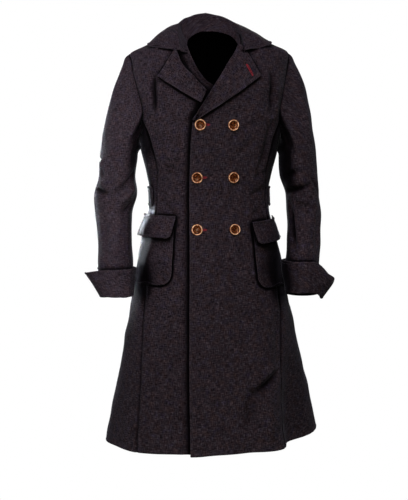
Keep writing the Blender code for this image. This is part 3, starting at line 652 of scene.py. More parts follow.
# A round light has no tall side. The others are upright strips with a narrow spread.
Light = namedtuple("Light", "name place aim size tall spread power colour")
LIGHTS = make_rows(
    Light,
    ("front", (-0.55, -4.2, 0.5), COAT_MIDDLE, 1.4, None, WIDE, 100.0, WARM),
    ("high", (-0.6, -2.6, 2.4), COAT_MIDDLE, 0.8, None, WIDE, 96.0, VIOLET),
    ("strip", (-0.62, -3.2, -0.15), (-0.29, 0.0, -0.30), 0.22, 0.75, 9.0, 0.80, SLEEVE_TINT),
    ("waist", (-2.0, 2.6, -0.40), (-0.15, 0.0, -0.42), 0.10, 0.40, 6.5, 1.9, COOL),
    ("side_left", (-3.2, 1.3, 0.4), COAT_MIDDLE, 1.8, None, WIDE, 30.0, COOL),
    ("side_right", (3.2, 1.3, 0.4), COAT_MIDDLE, 1.8, None, WIDE, 26.0, COOL),
    ("pocket", (-1.1, 3.3, -0.53), (-0.17, 0.0, -0.535), 0.10, 0.10, 3.6, 0.10, COOL),
    ("rim_left", (-1.0, 3.6, -0.2), (-0.15, 0.0, -0.5), 0.9, None, WIDE, 44.0, COOL),
    ("rim_right", (1.2, 3.5, -0.2), (0.15, 0.0, -0.5), 0.9, None, WIDE, 60.0, COOL),
    ("back", (0.4, 3.8, 1.2), COAT_MIDDLE, 2.2, None, WIDE, 60.0, WARM),
)
CAMERA_LENS = 96.0
CAMERA_SENSOR = 36.0
CAMERA_DISTANCE = 3.6
CAMERA_TURN = -5.5
CAMERA_HEIGHT = -0.2295
CAMERA_DROP = 0.3105
CAMERA_ASIDE = -0.0135

# Filled while the pieces are sewn: lines of topstitching, and each piece with its grid and shade
STITCH_LINES = []
GRIDS = []


def smooth_curve(xs, ys, x):
    """Smooth curve through table points that never overshoots them."""
    xs = np.asarray(xs, float)
    ys = np.asarray(ys, float)
    step = np.diff(xs)
    slope = np.diff(ys) / step
    rate = np.zeros_like(ys)
    same = slope[:-1] * slope[1:] > 0
    near = np.where(same, slope[:-1], 1.0)
    far = np.where(same, slope[1:], 1.0)
    rate[1:-1] = np.where(same, 2.0 * near * far / (near + far), 0.0)
    rate[0] = slope[0]
    rate[-1] = slope[-1]
    x = np.clip(x, xs[0], xs[-1])
    k = np.clip(np.searchsorted(xs, x) - 1, 0, len(xs) - 2)
    t = (x - xs[k]) / step[k]
    rest = 1.0 - t
    value = ys[k] * (1.0 + 2.0 * t) * rest * rest + ys[k + 1] * t * t * (3.0 - 2.0 * t)
    return value + step[k] * t * rest * (rate[k] * rest - rate[k + 1] * t)


def column(table, name):
    return [getattr(row, name) for row in table]


def read(table, key, at, *names):
    """Columns of a table at these places of its key column, each on a smooth curve."""
    keys = column(table, key)
    return [smooth_curve(keys, column(table, name), at) for name in names]


def read_points(table, key, at, name):
    """A column of points at these places of the table's key column."""
    keys = column(table, key)
    return np.stack([smooth_curve(keys, values, at) for values in zip(*column(table, name))], -1)


def ease(value, low, high):
    """0 below low, 1 above high, soft between."""
    t = np.clip((np.asarray(value, float) - low) / (high - low), 0.0, 1.0)
    return t * t * (3.0 - 2.0 * t)


def bell(away, run):
    """1 in the middle, falling softly to 0 on both sides."""
    return np.exp(-((away / run) ** 2))


def unit(vectors):
    return vectors / np.linalg.norm(vectors, axis=-1, keepdims=True)


def fold_sum(angle, height, name):
    """What the skirt's folds add up to at this place."""
    total = 0.0
    for fold in FOLDS:
        turn = (np.degrees(angle) - fold.angle + 180.0) % 360.0 - 180.0
        grown = (1.0 - ease(height, HEM, fold.top)) ** FOLD_GROWTH
        total = total + getattr(fold, name) * bell(turn, fold.half_width) * grown
    return total


def body_radius(angle, height, folded=True):
    """Distance from the axis to the outer face at an angle from the front, in radians."""
    names = ("half_width", "front", "back", "square")
    half_width, front, back, square = read(SECTIONS, "height", height, *names)
    depth = np.where(np.cos(angle) > 0, front, back)
    across = np.abs(np.sin(angle)) / half_width
    along = np.abs(np.cos(angle)) / depth
    radius = (across**square + along**square) ** (-1.0 / square)
    if folded:
        radius = radius + fold_sum(angle, height, "reach")
    return radius


def body_place(angle, height):
    radius = body_radius(angle, height)
    rise = BACK_NECK_RISE * ease(height, SHOULDER_TIP, NECK_SIDE) * np.clip(-np.cos(angle), 0, 1)
    across = radius * np.sin(angle)
    raised = ease(height, *LEFT_RISE_HEIGHTS) * ease(across, *LEFT_RISE_ACROSS)
    rise = rise + LEFT_SHOULDER_RISE * raised
    rise = rise + fold_sum(angle, height, "lift")
    return np.stack((across, -radius * np.cos(angle), height + rise), -1)


def body_normal(angle, height):
    turn = 0.004
    lift = 0.0015
    across = body_place(angle + turn, height) - body_place(angle - turn, height)
    up = body_place(angle, height + lift) - body_place(angle, height - lift)
    return unit(np.cross(across, up))


def crease_sum(creases, angle, height, radii):
    """Relief of hand-placed creases: soft troughs or ridges that fade at both ends."""
    total = np.zeros(np.broadcast(angle, height).shape)
    turned = np.degrees(angle)
    for crease, around in zip(creases, radii):
        middle = (crease.angle + crease.angle_end) / 2
        level = (crease.height + crease.height_end) / 2
        across = np.radians((turned - middle + 180.0) % 360.0 - 180.0) * around
        up = height - level
        half_across = math.radians(crease.angle_end - crease.angle) / 2 * around
        half_up = (crease.height_end - crease.height) / 2
        half_length = math.hypot(half_across, half_up)
        run = (across * half_across + up * half_up) / half_length
        share = np.clip(run / half_length, -1.0, 1.0)
        beyond = run - share * half_length
        aside = (across * half_up - up * half_across) / half_length
        away = (aside**2 + beyond**2) / crease.half_width**2
        fade = np.cos(share * math.pi / 2) ** CREASE_FADE
        total = total + crease.depth * fade * (1.0 - CREASE_FLANK * away) * np.exp(-away)
    return total


def ripple_sum(across, height):
    total = 0.0
    for ripple in RIPPLES:
        phase = across / ripple.across_wave + height / ripple.height_wave
        total = total + ripple.size * np.sin(2.0 * math.pi * phase + ripple.shift)
    return total


def crease_radii(creases):
    """Distance from the body's axis to the middle of each crease."""
    turns = [math.radians(crease.angle + crease.angle_end) / 2 for crease in creases]
    levels = [(crease.height + crease.height_end) / 2 for crease in creases]
    return body_radius(np.array(turns), np.array(levels))


BODY_CREASE_RADII = crease_radii(BODY_CREASES)


def body_relief(angle, height):
    """Creases and slight unevenness of the body's cloth."""
    creases = crease_sum(BODY_CREASES, angle, height, BODY_CREASE_RADII)
    return creases + ripple_sum(angle * BODY_RIPPLE_RADIUS, height)


def body(angle, height, out=0.0):
    """Point on the body's creased face, moved out along its normal."""
    angle, height, out = np.broadcast_arrays(angle, height, out)
    out = out + body_relief(angle, height)
    return body_place(angle, height) + body_normal(angle, height) * out[..., None]


def angle_at(across, height, front=True):
    """Angle of the point of the body's front or back that is this far across."""
    across, height = np.broadcast_arrays(np.asarray(across, float), np.asarray(height, float))
    low = np.zeros(across.shape)
    high = np.full(across.shape, math.pi / 2)
    reach = np.abs(across)
    for _ in range(HALVINGS):
        middle = (low + high) / 2
        turned = middle if front else math.pi - middle
        far = body_radius(turned, height, folded=False) * np.sin(middle) > reach
        high = np.where(far, middle, high)
        low = np.where(far, low, middle)
    angle = middle if front else math.pi - middle
    return np.sign(across) * angle


def angle_along(start, height, arc, sign):
    """Angle reached from a start angle after going this far round the body."""
    angles = start + sign * np.linspace(0.0, ROUND_REACH, ROUND_SAMPLES)
    places = body_place(angles, np.full(angles.shape, height))
    steps = np.linalg.norm(np.diff(places, axis=0), axis=1)
    gone = np.concatenate(((0.0,), np.cumsum(steps)))
    return np.interp(arc, gone, angles)


def armhole_half_angle(height):
    fraction = (SHOULDER_TIP - height) / (SHOULDER_TIP - ARMPIT)
    return np.radians(read(ARMHOLE, "fraction", fraction, "half_angle")[0])


def armhole_floor(angle):
    """Height of the lower armhole above this angle of the side."""
    heights = np.linspace(ARMPIT, SEAM_TOP, ARMHOLE_SAMPLES)
    return np.interp(np.abs(angle - math.pi / 2), armhole_half_angle(heights), heights)


def side_limit(height, front, inset):
    """Angles where a front or back panel ends: side seam, armhole or shoulder seam."""
    height = np.asarray(height, float)
    turn = inset / body_radius(math.pi / 2, height, folded=False)
    across = read(SEAMS, "height", height, "front_seam" if front else "back_seam")[0]
    seam = angle_at(across, height, front)
    half = armhole_half_angle(height)
    arm = math.pi / 2 - half if front else math.pi / 2 + half
    limit = np.where(height <= SEAM_TOP, seam, np.where(height < SHOULDER_TIP, arm, math.pi / 2))
    return limit - turn if front else limit + turn


def graded(length, coarse):
    """Shares from 0 to 1 along a length, closer together near both ends."""
    at = np.linspace(0.0, length, GRADED_SAMPLES)
    near = np.minimum(at, length - at)
    step = FINE_STEP + (coarse - FINE_STEP) * ease(near, FINE_RUN, COARSE_RUN)
    count = np.concatenate(((0.0,), np.cumsum(np.diff(at) / step[1:])))
    places = np.linspace(0.0, count[-1], max(int(math.ceil(count[-1])), 4) + 1)
    return np.interp(places, count, at / length)


def body_heights(low, high, angle, coarse=CLOTH_STEP):
    """Heights of rows that lie evenly along the cloth at one angle."""
    dense = np.linspace(low, high, HEIGHT_SAMPLES)
    places = body_place(np.full(dense.shape, angle), dense)
    gone = np.concatenate(((0.0,), np.cumsum(np.linalg.norm(np.diff(places, axis=0), axis=1))))
    return np.interp(graded(gone[-1], coarse) * gone[-1], gone, dense)


def run_along(points, axis):
    """Distance gone along the rows or columns of a grid of points."""
    steps = np.linalg.norm(np.diff(points, axis=axis), axis=-1)
    gone = np.cumsum(steps, axis=axis)
    first = np.zeros_like(np.take(gone, [0], axis=axis))
    return np.concatenate((first, gone), axis=axis)


def grid_normals(points):
    across = np.gradient(points, axis=1)
    up = np.gradient(points, axis=0)
    return unit(np.cross(across, up))


def edge_relief(edge, distance):
    """How far the cloth rises or sinks at this distance from a sewn edge."""
    middle = STITCH_INSET / 2
    relief = edge.puff * bell(distance - middle, middle) - edge.dip * bell(distance, DIP_RUN)
    if edge.stitched:
        relief = relief - STITCH_DIP * bell(distance - STITCH_INSET, STITCH_RUN)
    return relief


def inset_line(points, normals, distance, inset, clear):
    """Line on a grid at a distance from one edge: one point for each row of it."""
    line = []
    rise = []
    for row in range(points.shape[0]):
        if clear[row] < inset:
            continue
        place = np.interp(inset, distance[row], np.arange(distance.shape[1]))
        low = min(int(place), distance.shape[1] - 2)
        part = place - low
        line.append(points[row, low] * (1 - part) + points[row, low + 1] * part)
        rise.append(normals[row, low] * (1 - part) + normals[row, low + 1] * part)
    return np.array(line), np.array(rise)


def stitch_edges(points, normals, edges, gone_across, gone_up):
    """Rows of topstitching inside the stitched edges of a piece."""
    left = gone_across
    right = gone_across[:, -1:] - gone_across
    low = gone_up
    high = gone_up[-1:] - gone_up
    inset = STITCH_INSET
    never = np.full(points.shape[0], 1.0)
    flat = np.full(points.shape[1], 1.0)
    rows_clear = np.minimum(
        low[:, 0] if edges.bottom.stitched else never, high[:, 0] if edges.top.stitched else never
    )
    columns_clear = np.minimum(
        left[0] if edges.start.stitched else flat, right[0] if edges.stop.stitched else flat
    )
    turned = (1, 0, 2)
    if edges.start.stitched:
        STITCH_LINES.append(inset_line(points, normals, left, inset, rows_clear))
    if edges.stop.stitched:
        back = points[:, ::-1], normals[:, ::-1], right[:, ::-1]
        STITCH_LINES.append(inset_line(*back, inset, rows_clear))
    if edges.bottom.stitched:
        up = points.transpose(turned), normals.transpose(turned), low.T
        STITCH_LINES.append(inset_line(*up, inset, columns_clear))
    if edges.top.stitched:
        down = points[::-1].transpose(turned), normals[::-1].transpose(turned), high[::-1].T
        STITCH_LINES.append(inset_line(*down, inset, columns_clear))


def shell_mesh(name, outer, thickness, uv, rubbed, finishes):
    """Closed cloth shell on a grid of outer points, with round rims."""
    tall, wide = outer.shape[:2]
    normals = grid_normals(outer)
    inner = outer - normals * np.broadcast_to(thickness, (tall, wide))[..., None]
    index = np.arange(tall * wide).reshape(tall, wide)
    loop = np.concatenate((index[0, :-1], index[:-1, -1], index[-1, :0:-1], index[:0:-1, 0]))
    outward = np.zeros_like(outer)
    outward[0] += unit(outer[0] - outer[1])
    outward[-1] += unit(outer[-1] - outer[-2])
    outward[:, 0] += unit(outer[:, 0] - outer[:, 1])
    outward[:, -1] += unit(outer[:, -1] - outer[:, -2])
    flat_outer = outer.reshape(-1, 3)
    flat_inner = inner.reshape(-1, 3)
    away = unit(outward.reshape(-1, 3)[loop])
    half = (flat_outer[loop] - flat_inner[loop]) / 2
    middle = (flat_outer[loop] + flat_inner[loop]) / 2
    depth = np.linalg.norm(half, axis=-1, keepdims=True)
    rings = []
    for bend in np.radians(RIM_TURNS):
        rings.append(middle + half * math.cos(bend) + away * depth * math.sin(bend))
    points = np.concatenate([flat_outer, flat_inner] + rings)
    total = tall * wide
    rim = len(loop)
    quads = np.stack((index[:-1, :-1], index[:-1, 1:], index[1:, 1:], index[1:, :-1]), -1).reshape(-1, 4)
    faces = [quads, quads[:, ::-1] + total]
    levels = [loop] + [2 * total + k * rim + np.arange(rim) for k in range(len(rings))] + [loop + total]
    for near, far in zip(levels[:-1], levels[1:]):
        faces.append(np.stack((near, far, np.roll(far, -1), np.roll(near, -1)), -1))
    faces = np.concatenate(faces)
    mesh = bpy.data.meshes.new(name)
    mesh.from_pydata(points.tolist(), [], faces.tolist())
    flat_uv = uv.reshape(-1, 2)
    point_uv = np.concatenate([flat_uv, flat_uv] + [flat_uv[loop]] * len(rings))
    corners = np.zeros(len(mesh.loops), np.int32)
    mesh.loops.foreach_get("vertex_index", corners)
    mesh.uv_layers.new(name="cloth").data.foreach_set("uv", point_uv[corners].astype(np.float32).ravel())
    flat_rub = rubbed.reshape(-1)
    point_rub = np.concatenate([flat_rub, flat_rub * 0] + [flat_rub[loop]] * len(rings))
    layer = mesh.attributes.new("rubbed", "FLOAT", "POINT")
    layer.data.foreach_set("value", point_rub.astype(np.float32))
    for finish in finishes:
        mesh.materials.append(finish)
    side = np.zeros(len(faces), np.int32)
    side[len(quads):2 * len(quads)] = len(finishes) - 1
    side[-2 * rim:] = len(finishes) - 1
    mesh.polygons.foreach_set("material_index", side)
    mesh.polygons.foreach_set("use_smooth", np.ones(len(faces), bool))
    mesh.validate()
    mesh.update()
    return mesh


def add_object(name, data):
    made = bpy.data.objects.new(name, data)
    bpy.context.scene.collection.objects.link(made)
    return made


def sheet_area(points):
    """Area of a grid of points."""
    one = np.cross(points[:-1, 1:] - points[:-1, :-1], points[1:, :-1] - points[:-1, :-1])
    two = np.cross(points[:-1, 1:] - points[1:, 1:], points[1:, :-1] - points[1:, 1:])
    return float((np.linalg.norm(one, axis=-1) + np.linalg.norm(two, axis=-1)).sum() / 2)


def spot_shade(points):
    """Soft shade that the cuffs and arms cast on the cloth beside them."""
    total = 0.0
    for spot in SHADE_SPOTS:
        far = (points - np.array(spot.middle)) / np.array(spot.reach)
        total = total + spot.amount * np.exp(-(far**2).sum(-1))
    return total


def sew(name, base, normal, out, edges, thickness, finishes, grain=None, shade=0.0):
    across = run_along(base, 1)
    up = run_along(base, 0)
    relief = np.broadcast_to(out, across.shape)
    rubbed = np.zeros(across.shape)
    distances = (up, up[-1:] - up, across, across[:, -1:] - across)
    for edge, distance in zip(edges, distances):
        relief = relief + edge_relief(edge, distance)
        if edge.dip > CLOSE_SEAM.dip:
            shade = shade + SEAM_SHADE * bell(distance, SEAM_SHADE_RUN)
        if edge.free:
            rubbed = np.maximum(rubbed, np.exp(-distance / RUBBED_RUN))
    outer = base + normal * relief[..., None]
    stitch_edges(outer, grid_normals(outer), edges, across, up)
    uv = np.stack((across if grain is None else grain, up), -1)
    cloth = name + "_cloth"
    piece = add_object(cloth, shell_mesh(cloth, outer, thickness, uv, rubbed, finishes))
    GRIDS.append((piece, outer, shade + spot_shade(outer)))
    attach(piece, "root")
    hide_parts(name)
    area = sheet_area(base)
    return piece


def shelter_fans():
    """Fans of directions over a half sphere, denser round its pole, each turned a little."""
    fans = []
    for spin in range(SHELTER_SPINS):
        number = np.arange(SHELTER_RAYS)
        lean = np.sqrt((number + 0.5) / SHELTER_RAYS) * SHELTER_LEAN
        turn = number * GOLDEN_TURN + spin * 2.0 * math.pi / SHELTER_SPINS
        fans.append(np.stack((lean * np.cos(turn), lean * np.sin(turn), np.sqrt(1.0 - lean**2)), -1))
    return np.array(fans)


def mark_painted_shade():
    """Marks how far each spot of cloth lies in a fold or seam or under another edge, adds each piece's given
    shade, and keeps the sum on the points as painted shade for the wool's colour.
    """
    points = []
    faces = []
    for piece, _, _ in GRIDS:
        start = len(points)
        points += [vert.co[:] for vert in piece.data.vertices]
        faces += [[start + corner for corner in face.vertices] for face in piece.data.polygons]
    tree = BVHTree.FromPolygons(points, faces)
    fans = shelter_fans()
    for piece, outer, shade in GRIDS:
        normal = grid_normals(outer)
        across = unit(np.gradient(outer, axis=1))
        up = np.cross(normal, across)
        spots = (outer + normal * SHELTER_LIFT).reshape(-1, 3)
        frames = np.stack((across, up, normal), -2).reshape(-1, 3, 3)
        which = np.arange(len(spots)) * 3 % SHELTER_SPINS
        rays = np.einsum("nki,nij->nkj", fans[which], frames).tolist()
        met = np.zeros(len(spots))
        for number, (spot, fan) in enumerate(zip(spots.tolist(), rays)):
            for ray in fan:
                gone = tree.ray_cast(spot, ray, SHELTER_FAR)[3]
                if gone is not None:
                    met[number] += max(1.0 - gone / SHELTER_NEAR, 0.0)
                    met[number] += (1.0 - gone / SHELTER_FAR) * SHELTER_FAR_SHARE
        share = (met / SHELTER_RAYS).reshape(outer.shape[:2]) + shade
        wide = np.pad(share, 1, mode="edge")
        share = sum(wide[r:r + share.shape[0], c:c + share.shape[1]] for r in range(3) for c in range(3)) / 9
        rest = np.full(len(piece.data.vertices) - share.size, float(np.median(share)))
        layer = piece.data.attributes.new("painted_shade", "FLOAT", "POINT")
        layer.data.foreach_set("value", np.concatenate((share.ravel(), rest)).astype(np.float32))


# Shader maths on sockets
class Value:
    """A number socket that Python expressions can add Math nodes to."""

    def __init__(self, finish, socket):
        self.finish = finish
        self.socket = socket

    def _math(self, operation, first, second):
        made = self.finish.node("ShaderNodeMath", {"operation": operation}, {0: first, 1: second})
        return made.value()

    def __add__(self, other):
        return self._math("ADD", self, other)

    def __radd__(self, other):
        return self._math("ADD", other, self)

    def __sub__(self, other):
        return self._math("SUBTRACT", self, other)

    def __rsub__(self, other):
        return self._math("SUBTRACT", other, self)

    def __mul__(self, other):
        return self._math("MULTIPLY", self, other)

    def __rmul__(self, other):
        return self._math("MULTIPLY", other, self)

    def sine(self):
        return self._math("SINE", self, 0.0)

    def clamped(self, scale, shift):
        """The value times scale plus shift, held between 0 and 1."""
        settings = {"operation": "MULTIPLY_ADD", "use_clamp": True}
        return self.finish.node("ShaderNodeMath", settings, {0: self, 1: scale, 2: shift}).value()


class Made:
    """A node that was added, giving its outputs as values."""

    def __init__(self, finish, node):
        self.finish = finish
        self.node = node

    def value(self, name=0):
        return Value(self.finish, self.node.outputs[name])


class Finish:
    """A material whose nodes are written as expressions."""

    def __init__(self, name):
        self.material = bpy.data.materials.new(name)
        self.material.use_nodes = True
        self.tree = self.material.node_tree
        self.shader = self.tree.nodes["Principled BSDF"]

    def node(self, kind, settings=None, sockets=None):
        node = self.tree.nodes.new(kind)
        for name, value in (settings or {}).items():
            if name == "stops":
                for stop, (place, colour) in enumerate(value):
                    element = node.color_ramp.elements
                    spot = element[stop] if stop < len(element) else element.new(place)
                    spot.position = place
                    spot.color = (*colour, 1.0)
            else:
                setattr(node, name, value)
        for name, value in (sockets or {}).items():
            self.plug(node.inputs[name], value)
        return Made(self, node)

    def plug(self, socket, value):
        if isinstance(value, Value):
            self.tree.links.new(value.socket, socket)
        else:
            socket.default_value = value

    def set(self, **sockets):
        for name, value in sockets.items():
            self.plug(self.shader.inputs[name.replace("_", " ")], value)

    def noise(self, vector, scale, detail=2.0, roughness=0.5):
        settings = {"noise_dimensions": "3D"}
        sockets = {"Vector": vector, "Scale": scale, "Detail": detail, "Roughness": roughness}
        return self.node("ShaderNodeTexNoise", settings, sockets).value(0)

    def mark(self, name):
        """What the mesh's points carry under this name."""
        return self.node("ShaderNodeAttribute", {"attribute_name": name}).value("Fac")

    def cloth_place(self):
        """The two distances along the cloth, in metres."""
        place = self.node("ShaderNodeUVMap", {"uv_map": "cloth"}).value()
        split = self.node("ShaderNodeSeparateXYZ", None, {"Vector": place})
        return split.value("X"), split.value("Y")

    def cloth_noise(self, place, waves, shift, detail=2.0, roughness=0.5):
        """Noise with its own waves along the two ways of the cloth."""
        sockets = {"X": place[0] * waves[0], "Y": place[1] * waves[1], "Z": shift}
        return self.noise(self.node("ShaderNodeCombineXYZ", None, sockets).value(), 1.0, detail, roughness)

    def blend(self, factor, first, second, blend_type="MIX"):
        settings = {"data_type": "RGBA", "blend_type": blend_type}
        made = self.node("ShaderNodeMix", settings, {0: factor, 6: first, 7: second})
        return made.value(2)

    def ramp(self, factor, stops):
        return self.node("ShaderNodeValToRGB", {"stops": stops}, {"Fac": factor}).value(0)

    def bump(self, height, strength, distance):
        sockets = {"Height": height, "Strength": strength, "Distance": distance}
        return self.node("ShaderNodeBump", None, sockets).value()


def wool_finish(name):
    """Dark heathered wool: crossing threads with slubs, specks and a soft nap, with painted shade from the
    shade mark.
    """
    finish = Finish(name)
    place = finish.cloth_place()
    weft = finish.cloth_noise(place, WEFT_WAVES, 0.0, 3.0, 0.6)
    warp = finish.cloth_noise(place, WARP_WAVES, 7.0, 3.0, 0.6)
    speck = finish.cloth_noise(place, SPECK_WAVES, 3.0, 1.0)
    tone = finish.ramp(weft * 0.47 + warp * 0.43 + speck * 0.10, WOOL_TONES)
    mottle = finish.ramp(finish.cloth_noise(place, MOTTLE_WAVES, 17.0), WOOL_MOTTLE)
    tone = finish.blend(1.0, tone, mottle, "MULTIPLY")
    cast = finish.ramp(finish.cloth_noise(place, HUE_WAVES, 11.0, 3.0, 0.6), WOOL_CASTS)
    colour = finish.blend(1.0, tone, cast, "MULTIPLY")
    colour = finish.blend(finish.mark("rubbed") * RUBBED_SHARE, colour, WOOL_RUBBED)
    shade_mark = finish.mark("painted_shade")
    # Painted shade: the wool darkens towards near black where its shade mark is high.
    colour = finish.blend(shade_mark.clamped(PAINTED_SHADE_RATE, 0.0) * PAINTED_SHADE_SHARE, colour, WOOL_PAINTED_SHADE)
    # Painted shade in the shine too: in the deepest places the cloth sends back no light at flat angles
    # either, through the metallic input with a black tint, which stands for no real metal.
    dull = shade_mark.clamped(DULL_RATE, DULL_START)
    plain = (place[0] * WEAVE_TURN).sine() * (place[1] * WEAVE_TURN).sine()
    nap = finish.cloth_noise(place, NAP_WAVES, 5.0)
    relief = weft * 0.50 + warp * 0.45 + plain * 0.08 + nap * 0.20
    finish.set(
        Base_Color=colour,
        Roughness=0.95 - weft * 0.10,
        Metallic=dull,
        Specular_Tint=(0.0, 0.0, 0.0, 1.0),
        Normal=finish.bump(relief, 0.52, 0.0011),
        Sheen_Weight=0.03,
        Sheen_Roughness=0.40,
        Sheen_Tint=(0.80, 0.80, 0.92, 1.0),
        Specular_IOR_Level=0.08,
    )
    return finish.material


def inside_finish(name):
    """Plain black inner side of the body and the sleeves."""
    finish = Finish(name)
    place = finish.cloth_place()
    rib = (place[0] + place[1]) * INSIDE_TURN
    streak = finish.cloth_noise(place, INSIDE_WAVES, 2.0)
    finish.set(
        Base_Color=finish.ramp(streak, INSIDE_TONES),
        Roughness=0.75 + streak * 0.2,
        Normal=finish.bump(rib.sine(), 0.2, 0.0003),
        Specular_IOR_Level=0.008,
    )
    return finish.material


def horn_finish(name):
    """Polished horn: dark red-brown dish whose bright orange flecks are painted glints, pale copper rim with
    streaks whose palest patches are painted glints.
    """
    finish = Finish(name)
    place = finish.node("ShaderNodeTexCoord").value("Object")
    streak = finish.noise(place, HORN_STREAKS, 4.0, 0.65)
    # The dish's bright flecks and the rim's palest patches are painted glints.
    dish = finish.ramp(streak, HORN_DISH_AND_GLINTS)
    rim = finish.ramp(finish.noise(place, HORN_CLOUDS, 2.0), HORN_RIM_AND_GLINTS)
    finish.set(
        Base_Color=finish.blend(finish.mark("rim"), dish, rim),
        Roughness=0.08 + streak * 0.08,
        Normal=finish.bump(streak, 0.8, 0.0007),
        Specular_IOR_Level=0.28,
        Specular_Tint=(1.0, 0.50, 0.24, 1.0),
        Coat_Weight=0.05,
        Coat_Roughness=0.06,
    )
    return finish.material


def thread_finish(name, low, high):
    """Twisted sewing thread."""
    finish = Finish(name)
    place = finish.node("ShaderNodeTexCoord").value("Object")
    twist = finish.noise(place, THREAD_TWIST, 2.0)
    finish.set(
        Base_Color=finish.ramp(twist, ((0.3, low), (0.7, high))),
        Roughness=0.62 + twist * 0.2,
        Normal=finish.bump(twist, 0.4, 0.0003),
        Sheen_Weight=0.02,
        Specular_IOR_Level=0.12,
    )
    return finish.material


WOOL = wool_finish("wool_cloth")
INSIDE = inside_finish("inner_side")
HORN = horn_finish("horn")
DARK_THREAD = thread_finish("dark_thread", (0.010, 0.008, 0.010), (0.034, 0.029, 0.034))
RED_THREAD = thread_finish("red_thread", (0.075, 0.005, 0.008), (0.24, 0.014, 0.019))
OUTSIDE_AND_INSIDE = (WOOL, INSIDE)
BOTH_WOOL = (WOOL,)


def sew_trim(name, base, edges, thickness, out=0.0, shade=0.0):
    """A piece with wool on both sides, on a grid that gives its own normals."""
    normal = grid_normals(base)
    return sew(name, base, normal, out, edges, thickness, BOTH_WOOL, shade=shade)


# Body panels
def body_grain(angles, heights, across):
    """Distance across each row from the front middle, so that threads run level and upright."""
    share = np.linspace(0.0, 1.0, GRAIN_SAMPLES)
    turned = angles[:, :1] * share
    places = body_place(turned, np.repeat(heights[:, None], share.size, 1))
    start = np.linalg.norm(np.diff(places, axis=1), axis=-1).sum(1) * np.sign(angles[:, 0])
    return start[:, None] + across


def body_panel(name, angles, heights, edges, drop=0.0, corner=None, shade=0.0):
    """Panel of the body on a grid of angles, its hem lower at a corner."""
    levels = np.broadcast_to(heights if heights.ndim == 2 else heights[:, None], angles.shape)
    base = body_place(angles, levels)
    normal = body_normal(angles, levels)
    if corner is not None:
        grown = 1.0 - ease(levels, HEM, HEM / 2)
        base[..., 2] -= CORNER_DROP * bell(base[..., 0] - corner, CORNER_RUN) * grown
    out = body_relief(angles, levels) + drop
    grain = body_grain(angles, levels[:, 0], run_along(base, 1))
    return sew(name, base, normal, out, edges, WALL, OUTSIDE_AND_INSIDE,
               grain, shade)


def armhole_shade(angles, heights, limit):
    """Deep shade on the cloth beside the lower armhole."""
    away = np.abs(angles - limit[:, None]) * ARMHOLE_RADIUS
    level = ease(heights, *ARMHOLE_SHADE_LOW) * (1.0 - ease(heights, *ARMHOLE_SHADE_HIGH))
    return ARM_SHADE * (1.0 - ease(away, *ARMHOLE_SHADE_RUN)) * level[:, None]


def edge_across(edge, heights):
    """How far across a front's edge lies at these heights."""
    return np.interp(heights, column(edge, "height"), column(edge, "across"))


def front_panel(name, sign, edge, under):
    """Front from its closed edge, roll line and neck to the side seam and armhole."""
    heights = body_heights(HEM, FRONT_TOP, math.radians(sign * FRONT_MIDDLE), FRONT_STEP)
    limit = sign * side_limit(heights, True, SEAM_GAP / 2)
    inner = angle_at(edge_across(edge, heights), heights)
    start, stop = (inner, limit) if sign > 0 else (limit, inner)
    angles = start[:, None] + (stop - start)[:, None] * graded(FRONT_WIDTH, FRONT_STEP)
    free = HEMMED if under else TURNED
    edges = Edges(HEMMED, CUT, free, LAPPED) if sign > 0 else Edges(HEMMED, CUT, LAPPED, free)
    drop = 0.0
    shade = armhole_shade(angles, heights, limit)
    if under:
        level = np.broadcast_to(heights[:, None], angles.shape)
        past = body_place(angles, level)[..., 0] - edge_across(EDGE_LEFT, level)
        drop = -UNDERLAP_DROP * ease(past, -UNDERLAP_RUN, -UNDERLAP_CLEAR)
        shade = shade + LAP_SHADE * bell(past + LAP_SHADE_AT, LAP_SHADE_RUN)
    corner = None if under else EDGE_LEFT[0].across
    return body_panel(name, angles, heights, edges, drop, corner, shade)


def side_panel(name, sign):
    """Side from hem to the lower armhole, between the front and the back seam."""
    level = body_heights(HEM, SEAM_TOP, math.pi / 2)
    shares = graded(SIDE_WIDTH, CLOTH_STEP)
    share = (level - SIDE_LEVEL_TOP) / (SEAM_TOP - SIDE_LEVEL_TOP)
    heights = np.repeat(level[:, None], shares.size, 1)
    for _ in range(SIDE_PASSES):
        start = side_limit(heights, True, -SEAM_GAP / 2)
        stop = side_limit(heights, False, -SEAM_GAP / 2)
        angles = start + (stop - start) * shares
        top = armhole_floor(angles) - ARMPIT_CLEAR
        bent = SIDE_LEVEL_TOP + share[:, None] * (top - SIDE_LEVEL_TOP)
        heights = np.where(level[:, None] > SIDE_LEVEL_TOP, bent, level[:, None])
    if sign < 0:
        angles = -angles[:, ::-1]
        heights = heights[:, ::-1]
    shade = ARM_SHADE * ease(heights, *SIDE_SHADE_LOW)
    return body_panel(name, angles, heights, Edges(HEMMED, SEAM, SEAM, SEAM), shade=shade)


def back_panel(name, sign):
    """Half back from the middle seam to the side seam, armhole and shoulder seam."""
    heights = body_heights(HEM, NECK_SIDE, math.radians(BACK_MIDDLE))
    limit = side_limit(heights, False, SEAM_GAP / 2)
    middle = math.pi - SEAM_GAP / 2 / body_radius(math.pi, heights, folded=False)
    angles = limit[:, None] + (middle - limit)[:, None] * graded(BACK_WIDTH, CLOTH_STEP)
    edges = Edges(HEMMED, CUT, SEAM, SEAM)
    shade = armhole_shade(angles, heights, limit)
    if sign < 0:
        angles, shade = -angles[:, ::-1], shade[:, ::-1]
    return body_panel(name, angles, heights, edges, shade=shade)


# Sleeves
def sleeve_ring(table, sign, height, turn):
    """Rings of a sleeve at turns from its outer side."""
    names = ("out", "forward", "half_width", "half_depth")
    out, forward, half_width, half_depth = read(table, "height", height, *names)
    across = sign * (out + half_width * np.cos(turn))
    deep = -forward - half_depth * np.sin(turn)
    return np.stack((across, deep, np.broadcast_to(height, turn.shape)), -1)


